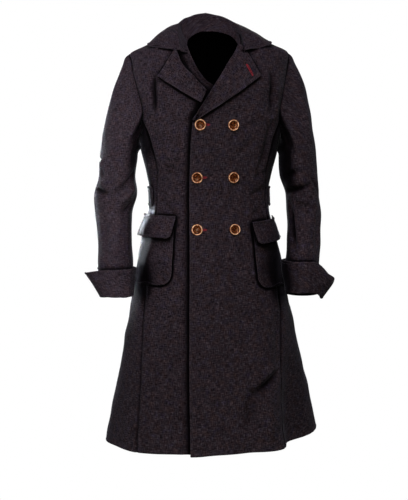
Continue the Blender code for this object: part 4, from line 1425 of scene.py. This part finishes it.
def armhole_ring(sign, turn):
    """Armhole curve at turns from the shoulder tip, by the front to the armpit and back."""
    fraction = (1.0 - np.cos(turn)) / 2.0
    height = SHOULDER_TIP + (ARMPIT - SHOULDER_TIP) * fraction
    half = armhole_half_angle(height) - SEAM_GAP / 2 / ARMHOLE_RADIUS
    tucked = ease(fraction, *SLEEVE_TUCK_SHARES)
    half = np.maximum(half + SLEEVE_TUCK_TURN * tucked, 0.0)
    angle = np.where(np.sin(turn) >= 0, math.pi / 2 - half, math.pi / 2 + half)
    return body(sign * angle, height, SLEEVE_HEAD_OUT - SLEEVE_TUCK * tucked)


def sleeve_surface(table, sign, cap, turn, shares, heights):
    """Whole sleeve at these turns: cap rows from the armhole, then rings down to the wrist."""
    start = armhole_ring(sign, turn)
    stop = sleeve_ring(table, sign, np.array(SLEEVE_START), turn)
    length = np.linalg.norm(stop - start, axis=-1, keepdims=True)
    top = (np.cos(turn / 2) ** 2)[..., None]
    head = np.array((sign * cap.out, 0.0, -cap.down))
    arrive = np.array((sign * SLEEVE_LEAN, 0.0, -1.0))
    leave = top * head + (1 - top) * arrive
    rows = []
    for t in shares:
        value = start * (1 + 2 * t) * (1 - t) ** 2 + stop * t * t * (3 - 2 * t)
        rows.append(value + length * (leave * t * (1 - t) ** 2 - arrive * t * t * (1 - t)))
    for height in heights:
        rows.append(sleeve_ring(table, sign, np.array(height), turn))
    return np.array(rows)


def sleeve_rows():
    """Shares of the cap's rows, and heights of the rings below it."""
    shares = graded(CAP_LENGTH, SLEEVE_STEP)
    shares = np.concatenate((shares[shares < CAP_EVEN_SHARE], np.linspace(*CAP_LAST_SHARES)))
    count = int((SLEEVE_START - SLEEVE_END) / SLEEVE_STEP)
    return shares, np.linspace(SLEEVE_START, SLEEVE_END, count + 1)[1:]


def sleeve_panel(name, table, sign, cap, creases, start, stop, on_top):
    """Top or under half of a sleeve, from the wrist up to the armhole."""
    inset = math.degrees(SEAM_GAP / 2 / SLEEVE_RADIUS)
    width = math.radians(stop - start) * SLEEVE_RADIUS
    turn = np.radians(start + inset + (stop - start - 2 * inset) * graded(width, SLEEVE_STEP))
    shares, heights = sleeve_rows()
    nudge = 0.01
    base = sleeve_surface(table, sign, cap, turn, shares, heights)[::-1]
    ahead = sleeve_surface(table, sign, cap, turn + nudge, shares, heights)[::-1]
    behind = sleeve_surface(table, sign, cap, turn - nudge, shares, heights)[::-1]
    normal = unit(np.cross(ahead - behind, np.gradient(base, axis=0))) * -sign
    turns = np.broadcast_to(turn, base.shape[:2])
    out = crease_sum(creases, turns, base[..., 2], [SLEEVE_RADIUS] * len(creases))
    out = out + ripple_sum(turns * SLEEVE_RADIUS + sign, base[..., 2])
    down = run_along(base[::-1], 0)[::-1]
    bent = np.degrees(turns)
    head = bell(bent, HEAD_PUFF_TURN) * bell(down - HEAD_PUFF_AT, HEAD_PUFF_RUN)
    out = out + HEAD_PUFF * head
    dim = SLEEVE_SHADE_LEFT if sign > 0 else SLEEVE_SHADE_RIGHT
    level = ease(base[..., 2], *dim.low) * (1.0 - ease(base[..., 2], *dim.high))
    shade = ARM_SHADE * ease(bent, *dim.front) * (1.0 - ease(bent, *dim.back)) * level
    edges = Edges(CUT, SEAM, SEAM, CLOSE_SEAM) if on_top else Edges(CUT, SEAM, CLOSE_SEAM, SEAM)
    if sign > 0:
        base, normal, out, shade = base[:, ::-1], normal[:, ::-1], out[:, ::-1], shade[:, ::-1]
        edges = edges._replace(start=edges.stop, stop=edges.start)
    return sew(name, base, normal, out, edges, WALL, OUTSIDE_AND_INSIDE,
               None, shade)


def cuff(name, table, sleeve, sign, ends):
    """Turned-back cuff: an open band round the sleeve's end with a flared corner."""
    turn = CUFF_SLIT + (360.0 - CUFF_SLIT_WIDTH) * graded(CUFF_ROUND, TRIM_STEP)
    near = 1.0 - ease(turn - CUFF_SLIT, 0.0, CUFF_FLARE_RUN)
    close = ease(turn, CUFF_CLOSE_START, CUFF_CLOSE_STOP)
    rows = []
    for share in graded(ends.top - ends.bottom, TRIM_STEP):
        height = ends.bottom + (ends.top - ends.bottom) * share
        room, flare, drop = read(table, "share", share, "room", "flare", "drop")
        ring = sleeve_ring(sleeve, sign, np.array(height), np.radians(turn))
        away = unit((ring - ring.mean(axis=0)) * LEVEL)
        ring = ring + away * (room * (1.0 - CUFF_CLOSE * close))[:, None]
        ring[:, 0] += sign * flare * near
        ring[:, 2] -= drop * near
        rows.append(ring)
    first = rows[0]
    inward = -unit((first - first.mean(axis=0)) * LEVEL)
    curl = []
    for bend in np.radians(CUFF_CURL_BENDS):
        curl.append(first + (inward * (1.0 - math.cos(bend)) - UP * math.sin(bend)) * CUFF_CURL)
    base = np.array(curl + rows)
    if sign > 0:
        base = base[:, ::-1]
    turns = np.radians(turn if sign < 0 else turn[::-1]) * SLEEVE_RADIUS
    out = CUFF_RIPPLE * ripple_sum(turns[None, :] + 2.0 * sign, base[..., 2])
    edges = Edges(CUT, TURNED, TURNED, TURNED)
    return sew_trim(name, base, edges, TRIM_WALL, out)


# Collar, lapels and the facing in the neck
def collar_fold(share):
    """Fold of the collar all round, from the right notch by the back to the left notch."""
    fold = read_points(COLLAR, "share", np.abs(share), "fold")
    fold[..., 0] *= np.sign(share)
    return fold


def curve_rows(first, second, third, fourth, count):
    """Rows on a bent line between two rows of points, with their two guides."""
    rows = []
    for t in np.linspace(0.0, 1.0, count):
        rest = 1.0 - t
        near = first * rest**3 + second * 3 * rest * rest * t
        rows.append(near + third * 3 * rest * t * t + fourth * t**3)
    return rows


def collar_leaf(share):
    """Rows of the falling leaf from its free edge to the fold, with a soft belly."""
    fold = collar_fold(share)
    turn, level = read(COLLAR, "share", np.abs(share), "edge_angle", "edge_height")
    angle = np.radians(turn) * np.where(share < 0, -1.0, 1.0)
    edge = body(angle, level, COLLAR_LAY + COLLAR_WALL)
    away = unit((edge - np.array(COLLAR_MIDDLE)) * LEVEL)
    place, run, more = COLLAR_SHOULDER
    full = 1.0 - ease(np.abs(share), *COLLAR_FLAT_ENDS)
    full = full * (1.0 + more * bell(np.abs(share) - place, run))
    lift = (away + UP) * (COLLAR_LEAN * COLLAR_BELLY * full)[:, None]
    pushed = ease(np.abs(share), *COLLAR_PUSHED)
    rows = []
    for down in 1.0 - graded(COLLAR_DEEP, TRIM_STEP):
        belly = 4.0 * down * (1.0 - down) * (1.0 - COLLAR_BELLY_TAPER * down)
        row = fold + (edge - fold) * down + lift * belly
        height = np.minimum(row[:, 2], FRONT_TOP)
        seat = body(angle_at(row[:, 0], height), height, COLLAR_LAY + COLLAR_WALL)
        row[:, 1] -= pushed * np.maximum(row[:, 1] - seat[:, 1], 0.0)
        rows.append(row)
    return rows


def collar_inside(share):
    """Top and foot of the collar's cloth inside the neck, and the way out from the neck."""
    fold = collar_fold(share)
    away = unit(fold * LEVEL - np.array(STAND_MIDDLE))
    top = fold - away * (STAND_INSET + COLLAR_INSIDE) - UP * STAND_TOP_DROP
    return top, collar_foot(share), away


def collar_inside_rows(share, parts):
    """Rows of the collar's cloth inside the neck, slightly bowed."""
    top, foot, away = collar_inside(share)
    bend = (away - UP) * COLLAR_INSIDE_BOW
    return [top + (foot - top) * part + bend * 4.0 * part * (1.0 - part) for part in parts]


def collar_fall():
    """Collar cloth from the leaf's free edge over the fold and down inside the neck."""
    share = 1.0 - 2.0 * graded(COLLAR_ROUND, TRIM_STEP)
    rows = collar_leaf(share)
    tangent = unit(rows[-1] - rows[-3])
    top, foot, _ = collar_inside(share)
    down = unit(foot - top)
    guides = rows[-1] + tangent * COLLAR_ROLL, top - down * COLLAR_ROLL
    rows += curve_rows(rows[-1], *guides, top, COLLAR_FOLD_ROWS)[1:]
    rows += collar_inside_rows(share, graded(COLLAR_INSIDE_DEEP, TRIM_STEP)[1:])
    base = np.array(rows)
    out = COLLAR_RIPPLE * ripple_sum(base[..., 0] + base[..., 1], base[..., 2])
    seam = bell(share * COLLAR_HALF, COLLAR_SEAM_RUN)[None, :]
    inside = ease(np.arange(len(rows)), *(len(rows) - row for row in COLLAR_SEAM_ROWS))[:, None]
    out = out - COLLAR_SEAM_DIP * seam * inside
    edges = Edges(TURNED, CUT, TURNED, TURNED)
    return sew_trim("collar_fall", base, edges, COLLAR_WALL, out)


def collar_foot(share):
    """Line inside the neck where the collar's cloth ends."""
    return read_points(COLLAR_FOOT, "share", share, "place")


def collar_stand():
    """Stand hidden behind the collar's cloth inside the neck."""
    share = STAND_REACH * (1.0 - 2.0 * graded(STAND_ROUND, TRIM_STEP))
    base = np.array(collar_inside_rows(share, np.linspace(*STAND_SHARES, STAND_ROWS)))
    base = base - grid_normals(base) * (COLLAR_WALL + STAND_BEHIND)
    edges = Edges(CUT, CUT, CUT, CUT)
    return sew_trim("collar_stand", base, edges, STAND_WALL)


def lapel(name, shape):
    """Lapel turned out along its roll line and lying on its front."""
    line, tip, foot = np.array(shape.roll), np.array(shape.tip), np.array(shape.foot)
    sign = math.copysign(1.0, shape.tip[0])
    across = graded(LAPEL_WIDTH, LAPEL_STEP_ACROSS)
    places = np.linspace(0.0, 1.0, len(line))
    rows = []
    for up in graded(float(np.linalg.norm(line[-1] - line[0])), LAPEL_STEP_UP):
        roll = np.array([smooth_curve(places, line[:, axis], up) for axis in range(2)])
        free = foot + (tip - foot) * up - np.array((0.0, LAPEL_BELLY)) * math.sin(math.pi * up)
        flat = roll + (free - roll) * across[:, None]
        bow = shape.top_bow * ease(up, *LAPEL_BOW_SHARES) * np.sin(math.pi * across**LAPEL_BOW_SKEW)
        flat = flat + np.array((sign, 1.0)) * bow[:, None] * LAPEL_BOW_LEAN
        angles = angle_at(flat[:, 0], flat[:, 1])
        away = LAPEL_GAP + TRIM_WALL + LAPEL_ROLL * (1 - across) ** 3 + LAPEL_LIFT * across**2
        points = body(angles, flat[:, 1], away)
        edge = points[0]
        out = unit(points[0] - points[2])
        inner = body(angles[0], flat[0, 1], -WALL - LAPEL_BEHIND) + out * LAPEL_PAST
        guides = inner + out * LAPEL_CURL, edge + out * LAPEL_CURL * LAPEL_CURL_END
        curl = curve_rows(inner, *guides, edge, LAPEL_CURL_ROWS)[:-1]
        rows.append(np.concatenate((np.array(curl), points)))
    base = np.array(rows)
    if sign < 0:
        base = base[:, ::-1]
    edges = Edges(CUT, TURNED, CUT, TURNED) if sign > 0 else Edges(CUT, TURNED, TURNED, CUT)
    out = LAPEL_RIPPLE * ripple_sum(base[..., 0] * LAPEL_RIPPLE_STRETCH, base[..., 2])
    return sew_trim(name, base, edges, LAPEL_WALL, out)


def neck_facing():
    """Strip of the right front's facing that shows inside the neck."""
    ups = graded(FACING_LENGTH, TRIM_STEP)
    names = ("outer", "middle", "inner")
    outer, middle, inner = (read_points(NECK_FACING, "up", ups, name) for name in names)
    behind = body(angle_at(outer[:, 0], outer[:, 2]), outer[:, 2], -WALL - FACING_BEHIND)
    outer = np.stack((outer[:, 0], behind[:, 1], outer[:, 2]), -1)
    part = graded(FACING_WIDTH, TRIM_STEP)[None, :, None]
    base = outer[:, None] * (1.0 - part) * (1.0 - 2.0 * part) + middle[:, None] * 4.0 * part * (1.0 - part)
    base = base + inner[:, None] * part * (2.0 * part - 1.0)
    edges = Edges(CUT, CUT, CUT, HEMMED)
    shade = np.broadcast_to(FACING_SHADE * (1.0 - ease(part[..., 0], *FACING_SHADE_SHARES)), base.shape[:2])
    return sew_trim("neck_facing_right", base, edges, FACING_WALL, shade=shade)


# Pockets, flaps and belt
def patch_rows(shape, width, ups, shares, corner, away):
    """Rows of a piece lying on the front and side, from its inner edge round to the side."""
    sign = math.copysign(1.0, shape.top_in)
    rows = []
    for up in ups:
        height = shape.bottom + (shape.top - shape.bottom) * up
        inner = shape.bottom_in + (shape.top_in - shape.bottom_in) * up
        start = float(angle_at(inner, height))
        rise = height - shape.bottom
        cut = 0.0
        if rise < corner:
            cut = corner - math.sqrt(max(corner**2 - (corner - rise) ** 2, 0.0))
        angles = angle_along(start, height, cut + (width - 2 * cut) * shares, sign)
        level = height + shape.outer_rise * shares
        points = body(angles, level, away(up, shares))
        rows.append(points if sign > 0 else points[::-1])
    return np.array(rows)


def pocket(name, shape):
    """Patch pocket, a little full in the middle."""
    def away(up, shares):
        return shape.lay + TRIM_WALL + POCKET_BELLY * np.sin(math.pi * shares) * math.sin(math.pi * up)

    ups = graded(shape.top - shape.bottom, TRIM_STEP)
    base = patch_rows(shape, POCKET_WIDTH, ups, graded(POCKET_WIDTH, TRIM_STEP), POCKET_CORNER, away)
    edges = Edges(TURNED, HEMMED, TURNED, TURNED)
    return sew_trim(name, base, edges, POCKET_WALL)


def flap(name, shape):
    """Pocket flap with a ridge along its sewn top, standing off at its free edge."""
    def away(up, shares):
        ridge = FLAP_RIDGE * bell(1.0 - up, FLAP_RIDGE_RUN)
        bow = FLAP_BOW * np.sin(math.pi * 2.0 * shares + FLAP_BOW_SHIFT)
        stand_off = (FLAP_STAND_OFF + bow) * (1.0 - up) ** FLAP_STAND_OFF_POWER
        return shape.lay + TRIM_WALL + stand_off + ridge

    ups = graded(shape.top - shape.bottom, FLAP_STEP)
    base = patch_rows(shape, FLAP_WIDTH, ups, graded(FLAP_WIDTH, TRIM_STEP), FLAP_CORNER, away)
    edges = Edges(TURNED, TURNED, TURNED, TURNED)
    return sew_trim(name, base, edges, TRIM_WALL)


def half_belt():
    """Belt across the back at the waist, its ends at the side seams."""
    turned = BELT_END + (360.0 - 2 * BELT_END) * graded(BELT_LENGTH, TRIM_STEP)
    levels = BELT_BOTTOM + (BELT_TOP - BELT_BOTTOM) * graded(BELT_TOP - BELT_BOTTOM, BELT_STEP)
    angles, heights = np.meshgrid(np.radians(turned), levels)
    base = body(angles, heights, BELT_GAP + TRIM_WALL)
    edges = Edges(TURNED, TURNED, TURNED, TURNED)
    return sew_trim("half_belt", base, edges, BELT_WALL)


# Horn buttons
def turned_button():
    """Turned button on its own axis, still without holes, with its rim marked."""
    work = bmesh.new()
    rim = work.verts.layers.float.new("rim")
    rings = []
    for row in BUTTON_PROFILE:
        ring = []
        for side in range(BUTTON_SIDES if row.radius_share else 1):
            turn = 2.0 * math.pi * side / BUTTON_SIDES
            reach = row.radius_share * BUTTON_RADIUS
            high = row.height_share * BUTTON_HEIGHT
            vert = work.verts.new((reach * math.cos(turn), reach * math.sin(turn), high))
            vert[rim] = row.rim
            ring.append(vert)
        rings.append(ring)
    for inner, outer in zip(rings[:-1], rings[1:]):
        for side in range(BUTTON_SIDES):
            after = (side + 1) % BUTTON_SIDES
            if len(inner) == 1:
                work.faces.new((inner[0], outer[side], outer[after]))
            elif len(outer) == 1:
                work.faces.new((inner[side], outer[0], inner[after]))
            else:
                work.faces.new((inner[side], outer[side], outer[after], inner[after]))
    mesh = bpy.data.meshes.new("button")
    bmesh.ops.recalc_face_normals(work, faces=work.faces)
    work.to_mesh(mesh)
    work.free()
    mesh.materials.append(HORN)
    return mesh


def drilled(mesh):
    """The button's mesh with its holes cut through."""
    solid = add_object("button_blank", mesh)
    drill = bmesh.new()
    for hole in range(HOLES):
        turn = 2.0 * math.pi * (hole + 0.5) / HOLES
        place = Matrix.Translation((HOLE_REACH * math.cos(turn), HOLE_REACH * math.sin(turn), 0.0))
        bmesh.ops.create_cone(
            drill, cap_ends=True, segments=HOLE_SIDES, radius1=HOLE_RADIUS, radius2=HOLE_RADIUS,
            depth=BUTTON_HEIGHT * 3.0, matrix=place,
        )
    drill_mesh = bpy.data.meshes.new("button_drill")
    drill.to_mesh(drill_mesh)
    drill.free()
    cutter = add_object("button_drill", drill_mesh)
    cut = solid.modifiers.new("holes", "BOOLEAN")
    cut.operation = "DIFFERENCE"
    cut.object = cutter
    view = bpy.context.evaluated_depsgraph_get()
    done = bpy.data.meshes.new_from_object(solid.evaluated_get(view))
    for item in (solid, cutter):
        bpy.data.objects.remove(item)
    done.polygons.foreach_set("use_smooth", np.ones(len(done.polygons), bool))
    done.set_sharp_from_angle(angle=math.radians(BUTTON_SHARP))
    return done


def seat_button(row, mesh):
    """A button of its own, seated on the cloth and turned on its axis."""
    angle = float(angle_at(row.across, row.height))
    seat = body(angle, row.height, BUTTON_SEAT)
    normal = body_normal(np.array(angle), np.array(row.height))
    turn = Vector(UP).rotation_difference(Vector(normal)).to_matrix().to_4x4()
    spin = Matrix.Rotation(math.radians(row.turn), 4, "Z")
    own = mesh.copy()
    own.transform(Matrix.Translation(Vector(seat)) @ turn @ spin)
    piece = add_object("horn_" + row.name, own)
    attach(piece, "root")
    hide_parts(row.name)


# Thread by geometry nodes
def stitch_tree():
    """Stitches along lines: each a small bead of thread that follows the line and the cloth."""
    tree = bpy.data.node_groups.new("stitch_row", "GeometryNodeTree")
    face = tree.interface
    face.new_socket("Lines", in_out="INPUT", socket_type="NodeSocketGeometry")
    sizes = {}
    for name in Stitch._fields:
        sizes[name] = face.new_socket(name, in_out="INPUT", socket_type="NodeSocketFloat").identifier
    sizes["Thread"] = face.new_socket("Thread", in_out="INPUT", socket_type="NodeSocketMaterial").identifier
    face.new_socket("Stitches", in_out="OUTPUT", socket_type="NodeSocketGeometry")

    def add(kind, **settings):
        node = tree.nodes.new(kind)
        for name, value in settings.items():
            setattr(node, name, value)
        return node

    def link(source, output, target, socket):
        tree.links.new(source.outputs[output], target.inputs[socket])

    given = add("NodeGroupInput")
    made = add("NodeGroupOutput")
    curve = add("GeometryNodeMeshToCurve")
    points = add("GeometryNodeCurveToPoints", mode="LENGTH")
    rise = add("GeometryNodeInputNamedAttribute", data_type="FLOAT_VECTOR")
    rise.inputs["Name"].default_value = "rise"
    along = add("FunctionNodeAlignRotationToVector", axis="X")
    upright = add("FunctionNodeAlignRotationToVector", axis="Z", pivot_axis="X")
    spin = add("FunctionNodeAxisAngleToRotation")
    spin.inputs["Axis"].default_value = (0.0, 0.0, 1.0)
    turned = add("FunctionNodeRotateRotation", rotation_space="LOCAL")
    bead = add("GeometryNodeMeshUVSphere")
    bead.inputs["Segments"].default_value = STITCH_SIDES
    bead.inputs["Rings"].default_value = STITCH_RINGS
    bead.inputs["Radius"].default_value = 0.5
    size = add("ShaderNodeCombineXYZ")
    place = add("GeometryNodeInstanceOnPoints")
    real = add("GeometryNodeRealizeInstances")
    soft = add("GeometryNodeSetShadeSmooth")
    dyed = add("GeometryNodeSetMaterial")
    link(given, "Lines", curve, "Mesh")
    link(curve, "Curve", points, "Curve")
    link(given, "Pitch", points, "Length")
    link(points, "Tangent", along, "Vector")
    link(along, "Rotation", upright, "Rotation")
    link(rise, "Attribute", upright, "Vector")
    link(given, "Turn", spin, "Angle")
    link(upright, "Rotation", turned, "Rotation")
    link(spin, "Rotation", turned, "Rotate By")
    link(given, "Length", size, "X")
    link(given, "Width", size, "Y")
    link(given, "Height", size, "Z")
    link(points, "Points", place, "Points")
    link(bead, "Mesh", place, "Instance")
    link(turned, "Rotation", place, "Rotation")
    link(size, "Vector", place, "Scale")
    link(place, "Instances", real, "Geometry")
    link(real, "Geometry", soft, "Geometry")
    link(soft, "Geometry", dyed, "Geometry")
    link(given, "Thread", dyed, "Material")
    link(dyed, "Geometry", made, "Stitches")
    return tree, sizes


STITCH_TREE, STITCH_SOCKETS = stitch_tree()


def thread_piece(name, lines, thread, stitch):
    """Stitches along these lines of points and normals, as one plain mesh."""
    points = np.concatenate([line for line, rise in lines])
    rises = np.concatenate([rise for line, rise in lines])
    links = []
    start = 0
    for line, rise in lines:
        links += [(start + k, start + k + 1) for k in range(len(line) - 1)]
        start += len(line)
    mesh = bpy.data.meshes.new(name + "_lines")
    mesh.from_pydata(points.tolist(), links, [])
    mesh.attributes.new("rise", "FLOAT_VECTOR", "POINT").data.foreach_set(
        "vector", rises.astype(np.float32).ravel()
    )
    guide = add_object(name + "_lines", mesh)
    sewn = guide.modifiers.new("stitches", "NODES")
    sewn.node_group = STITCH_TREE
    for size, value in stitch._asdict().items():
        sewn[STITCH_SOCKETS[size]] = value
    sewn[STITCH_SOCKETS["Thread"]] = thread
    view = bpy.context.evaluated_depsgraph_get()
    done = bpy.data.meshes.new_from_object(guide.evaluated_get(view))
    bpy.data.objects.remove(guide)
    done.name = name
    piece = add_object(name, done)
    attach(piece, "root")


def surface_of(piece):
    work = bmesh.new()
    work.from_mesh(piece.data)
    tree = BVHTree.FromBMesh(work)
    work.free()
    return tree


def on_cloth(tree, place, normal):
    """Point and normal of the cloth under a place."""
    place, normal = Vector(place), Vector(normal)
    spot, rise, _, _ = tree.ray_cast(place + normal * CLOTH_REACH, -normal, 2 * CLOTH_REACH)
    return (spot, rise) if spot is not None else (place, normal)


def oval_line(tree, start, stop):
    """Closed line round a buttonhole between two places given across and in height."""
    start = np.array(start)
    stop = np.array(stop)
    along = unit(stop - start)
    aside = np.array((-along[1], along[0]))
    half = np.linalg.norm(stop - start) / 2
    middle = (start + stop) / 2
    line = []
    rise = []
    for turn in np.linspace(0.0, 2.0 * math.pi, OVAL_POINTS):
        straight = math.copysign(abs(math.cos(turn)) ** OVAL_SQUARE, math.cos(turn))
        spot = middle + along * half * straight + aside * BUTTONHOLE_HALF_WIDTH * math.sin(turn)
        angle = float(angle_at(spot[0], spot[1]))
        place = body(angle, spot[1], OVAL_ABOVE)
        normal = body_normal(np.array(angle), np.array(spot[1]))
        found, up = on_cloth(tree, place, normal)
        line.append(np.array(found))
        rise.append(np.array(up))
    return np.array(line), np.array(rise)


def sew_coat():
    """All the cloth. The left front and lapel are given back for their buttonholes."""
    front = front_panel("front_left", 1.0, EDGE_LEFT, False)
    front_panel("front_right", -1.0, EDGE_RIGHT, True)
    for side, sign in (("left", 1.0), ("right", -1.0)):
        side_panel("side_" + side, sign)
        back_panel("back_" + side, sign)
    sleeves = (
        ("left", SLEEVE_LEFT, 1.0, CAP_LEFT, SLEEVE_CREASES_LEFT),
        ("right", SLEEVE_RIGHT, -1.0, CAP_RIGHT, SLEEVE_CREASES_RIGHT),
    )
    for side, table, sign, cap, creases in sleeves:
        shape = (table, sign, cap, creases)
        sleeve_panel("sleeve_top_" + side, *shape, SLEEVE_BACK_SEAM - 360.0, SLEEVE_FRONT_SEAM, True)
        sleeve_panel("sleeve_under_" + side, *shape, SLEEVE_FRONT_SEAM, SLEEVE_BACK_SEAM, False)
    cuff("cuff_left", CUFF_LEFT, SLEEVE_LEFT, 1.0, CUFF_ENDS_LEFT)
    cuff("cuff_right", CUFF_RIGHT, SLEEVE_RIGHT, -1.0, CUFF_ENDS_RIGHT)
    collar_fall()
    collar_stand()
    turned = lapel("lapel_left", LAPEL_LEFT)
    lapel("lapel_right", LAPEL_RIGHT)
    neck_facing()
    pocket("pocket_left", POCKET_LEFT)
    pocket("pocket_right", POCKET_RIGHT)
    flap("flap_left", FLAP_LEFT)
    flap("flap_right", FLAP_RIGHT)
    half_belt()
    return front, turned


def sew_buttons():
    mesh = drilled(turned_button())
    for row in BUTTONS:
        seat_button(row, mesh)


def sew_thread(front, turned):
    """Dark topstitching, and red thread round the buttonholes that show."""
    lines = [line for line in STITCH_LINES if len(line[0]) >= FEWEST_STITCH_POINTS]
    thread_piece("topstitching", lines, DARK_THREAD, TOPSTITCH)
    cloth = surface_of(front)
    holes = []
    for row in BUTTONS:
        if row.across < 0:
            ends = [(row.across + reach, row.height) for reach in BUTTONHOLE_REACH]
            holes.append(oval_line(cloth, *ends))
    holes.append(oval_line(surface_of(turned), *LAPEL_HOLE))
    thread_piece("red_buttonholes", holes, RED_THREAD, HOLE_STITCH)


# Stage, lights and camera
def glow_finish(name):
    material = bpy.data.materials.new(name)
    material.use_nodes = True
    tree = material.node_tree
    tree.nodes.clear()
    glow = tree.nodes.new("ShaderNodeEmission")
    glow.inputs["Color"].default_value = (1.0, 1.0, 1.0, 1.0)
    out = tree.nodes.new("ShaderNodeOutputMaterial")
    tree.links.new(glow.outputs[0], out.inputs["Surface"])
    return material


def backdrop(name, work):
    """Part of the white stage: it shows behind the coat and throws no light on it."""
    mesh = bpy.data.meshes.new(name)
    work.to_mesh(mesh)
    work.free()
    mesh.materials.append(glow_finish(name + "_finish"))
    piece = add_object(name, mesh)
    for ray in ("visible_diffuse", "visible_glossy", "visible_transmission", "visible_shadow"):
        setattr(piece, ray, False)


def stage():
    floor = bmesh.new()
    bmesh.ops.create_circle(floor, cap_ends=True, segments=64, radius=STAGE_REACH)
    bmesh.ops.translate(floor, verts=floor.verts, vec=(0.0, 0.0, FLOOR_HEIGHT))
    backdrop("floor", floor)
    dome = bmesh.new()
    bmesh.ops.create_uvsphere(dome, u_segments=48, v_segments=24, radius=STAGE_REACH)
    backdrop("dome", dome)


def soft_light(row):
    data = bpy.data.lights.new(row.name, "AREA")
    data.shape = "RECTANGLE" if row.tall else "DISK"
    data.size = row.size
    if row.tall:
        data.size_y = row.tall
    data.spread = math.radians(row.spread)
    data.energy = row.power
    data.color = row.colour
    light = add_object(row.name, data)
    light.location = row.place
    light.rotation_mode = "QUATERNION"
    light.rotation_quaternion = (Vector(row.aim) - Vector(row.place)).to_track_quat("-Z", "Y")
    light.visible_camera = False


def lights():
    for row in LIGHTS:
        soft_light(row)
    world = bpy.data.worlds.new("studio")
    world.use_nodes = True
    world.node_tree.nodes["Background"].inputs["Color"].default_value = WORLD_COLOUR
    world.node_tree.nodes["Background"].inputs["Strength"].default_value = WORLD_STRENGTH
    bpy.context.scene.world = world
    bpy.context.scene.view_settings.view_transform = "Standard"


def camera():
    turn = math.radians(CAMERA_TURN)
    right = Vector((math.cos(turn), math.sin(turn), 0.0))
    ahead = Vector((-math.sin(turn), math.cos(turn), 0.0))
    data = bpy.data.cameras.new("camera")
    data.lens = CAMERA_LENS
    data.sensor_width = CAMERA_SENSOR
    data.sensor_fit = "AUTO"
    view = add_object("camera", data)
    view.location = right * CAMERA_ASIDE - ahead * CAMERA_DISTANCE + Vector((0.0, 0.0, CAMERA_HEIGHT))
    aim = ahead * CAMERA_DISTANCE - Vector((0.0, 0.0, CAMERA_DROP))
    view.rotation_mode = "QUATERNION"
    view.rotation_quaternion = aim.to_track_quat("-Z", "Y")
    bpy.context.scene.camera = view


front_left, lapel_left = sew_coat()
mark_painted_shade()
sew_buttons()
sew_thread(front_left, lapel_left)
stage()
lights()
camera()
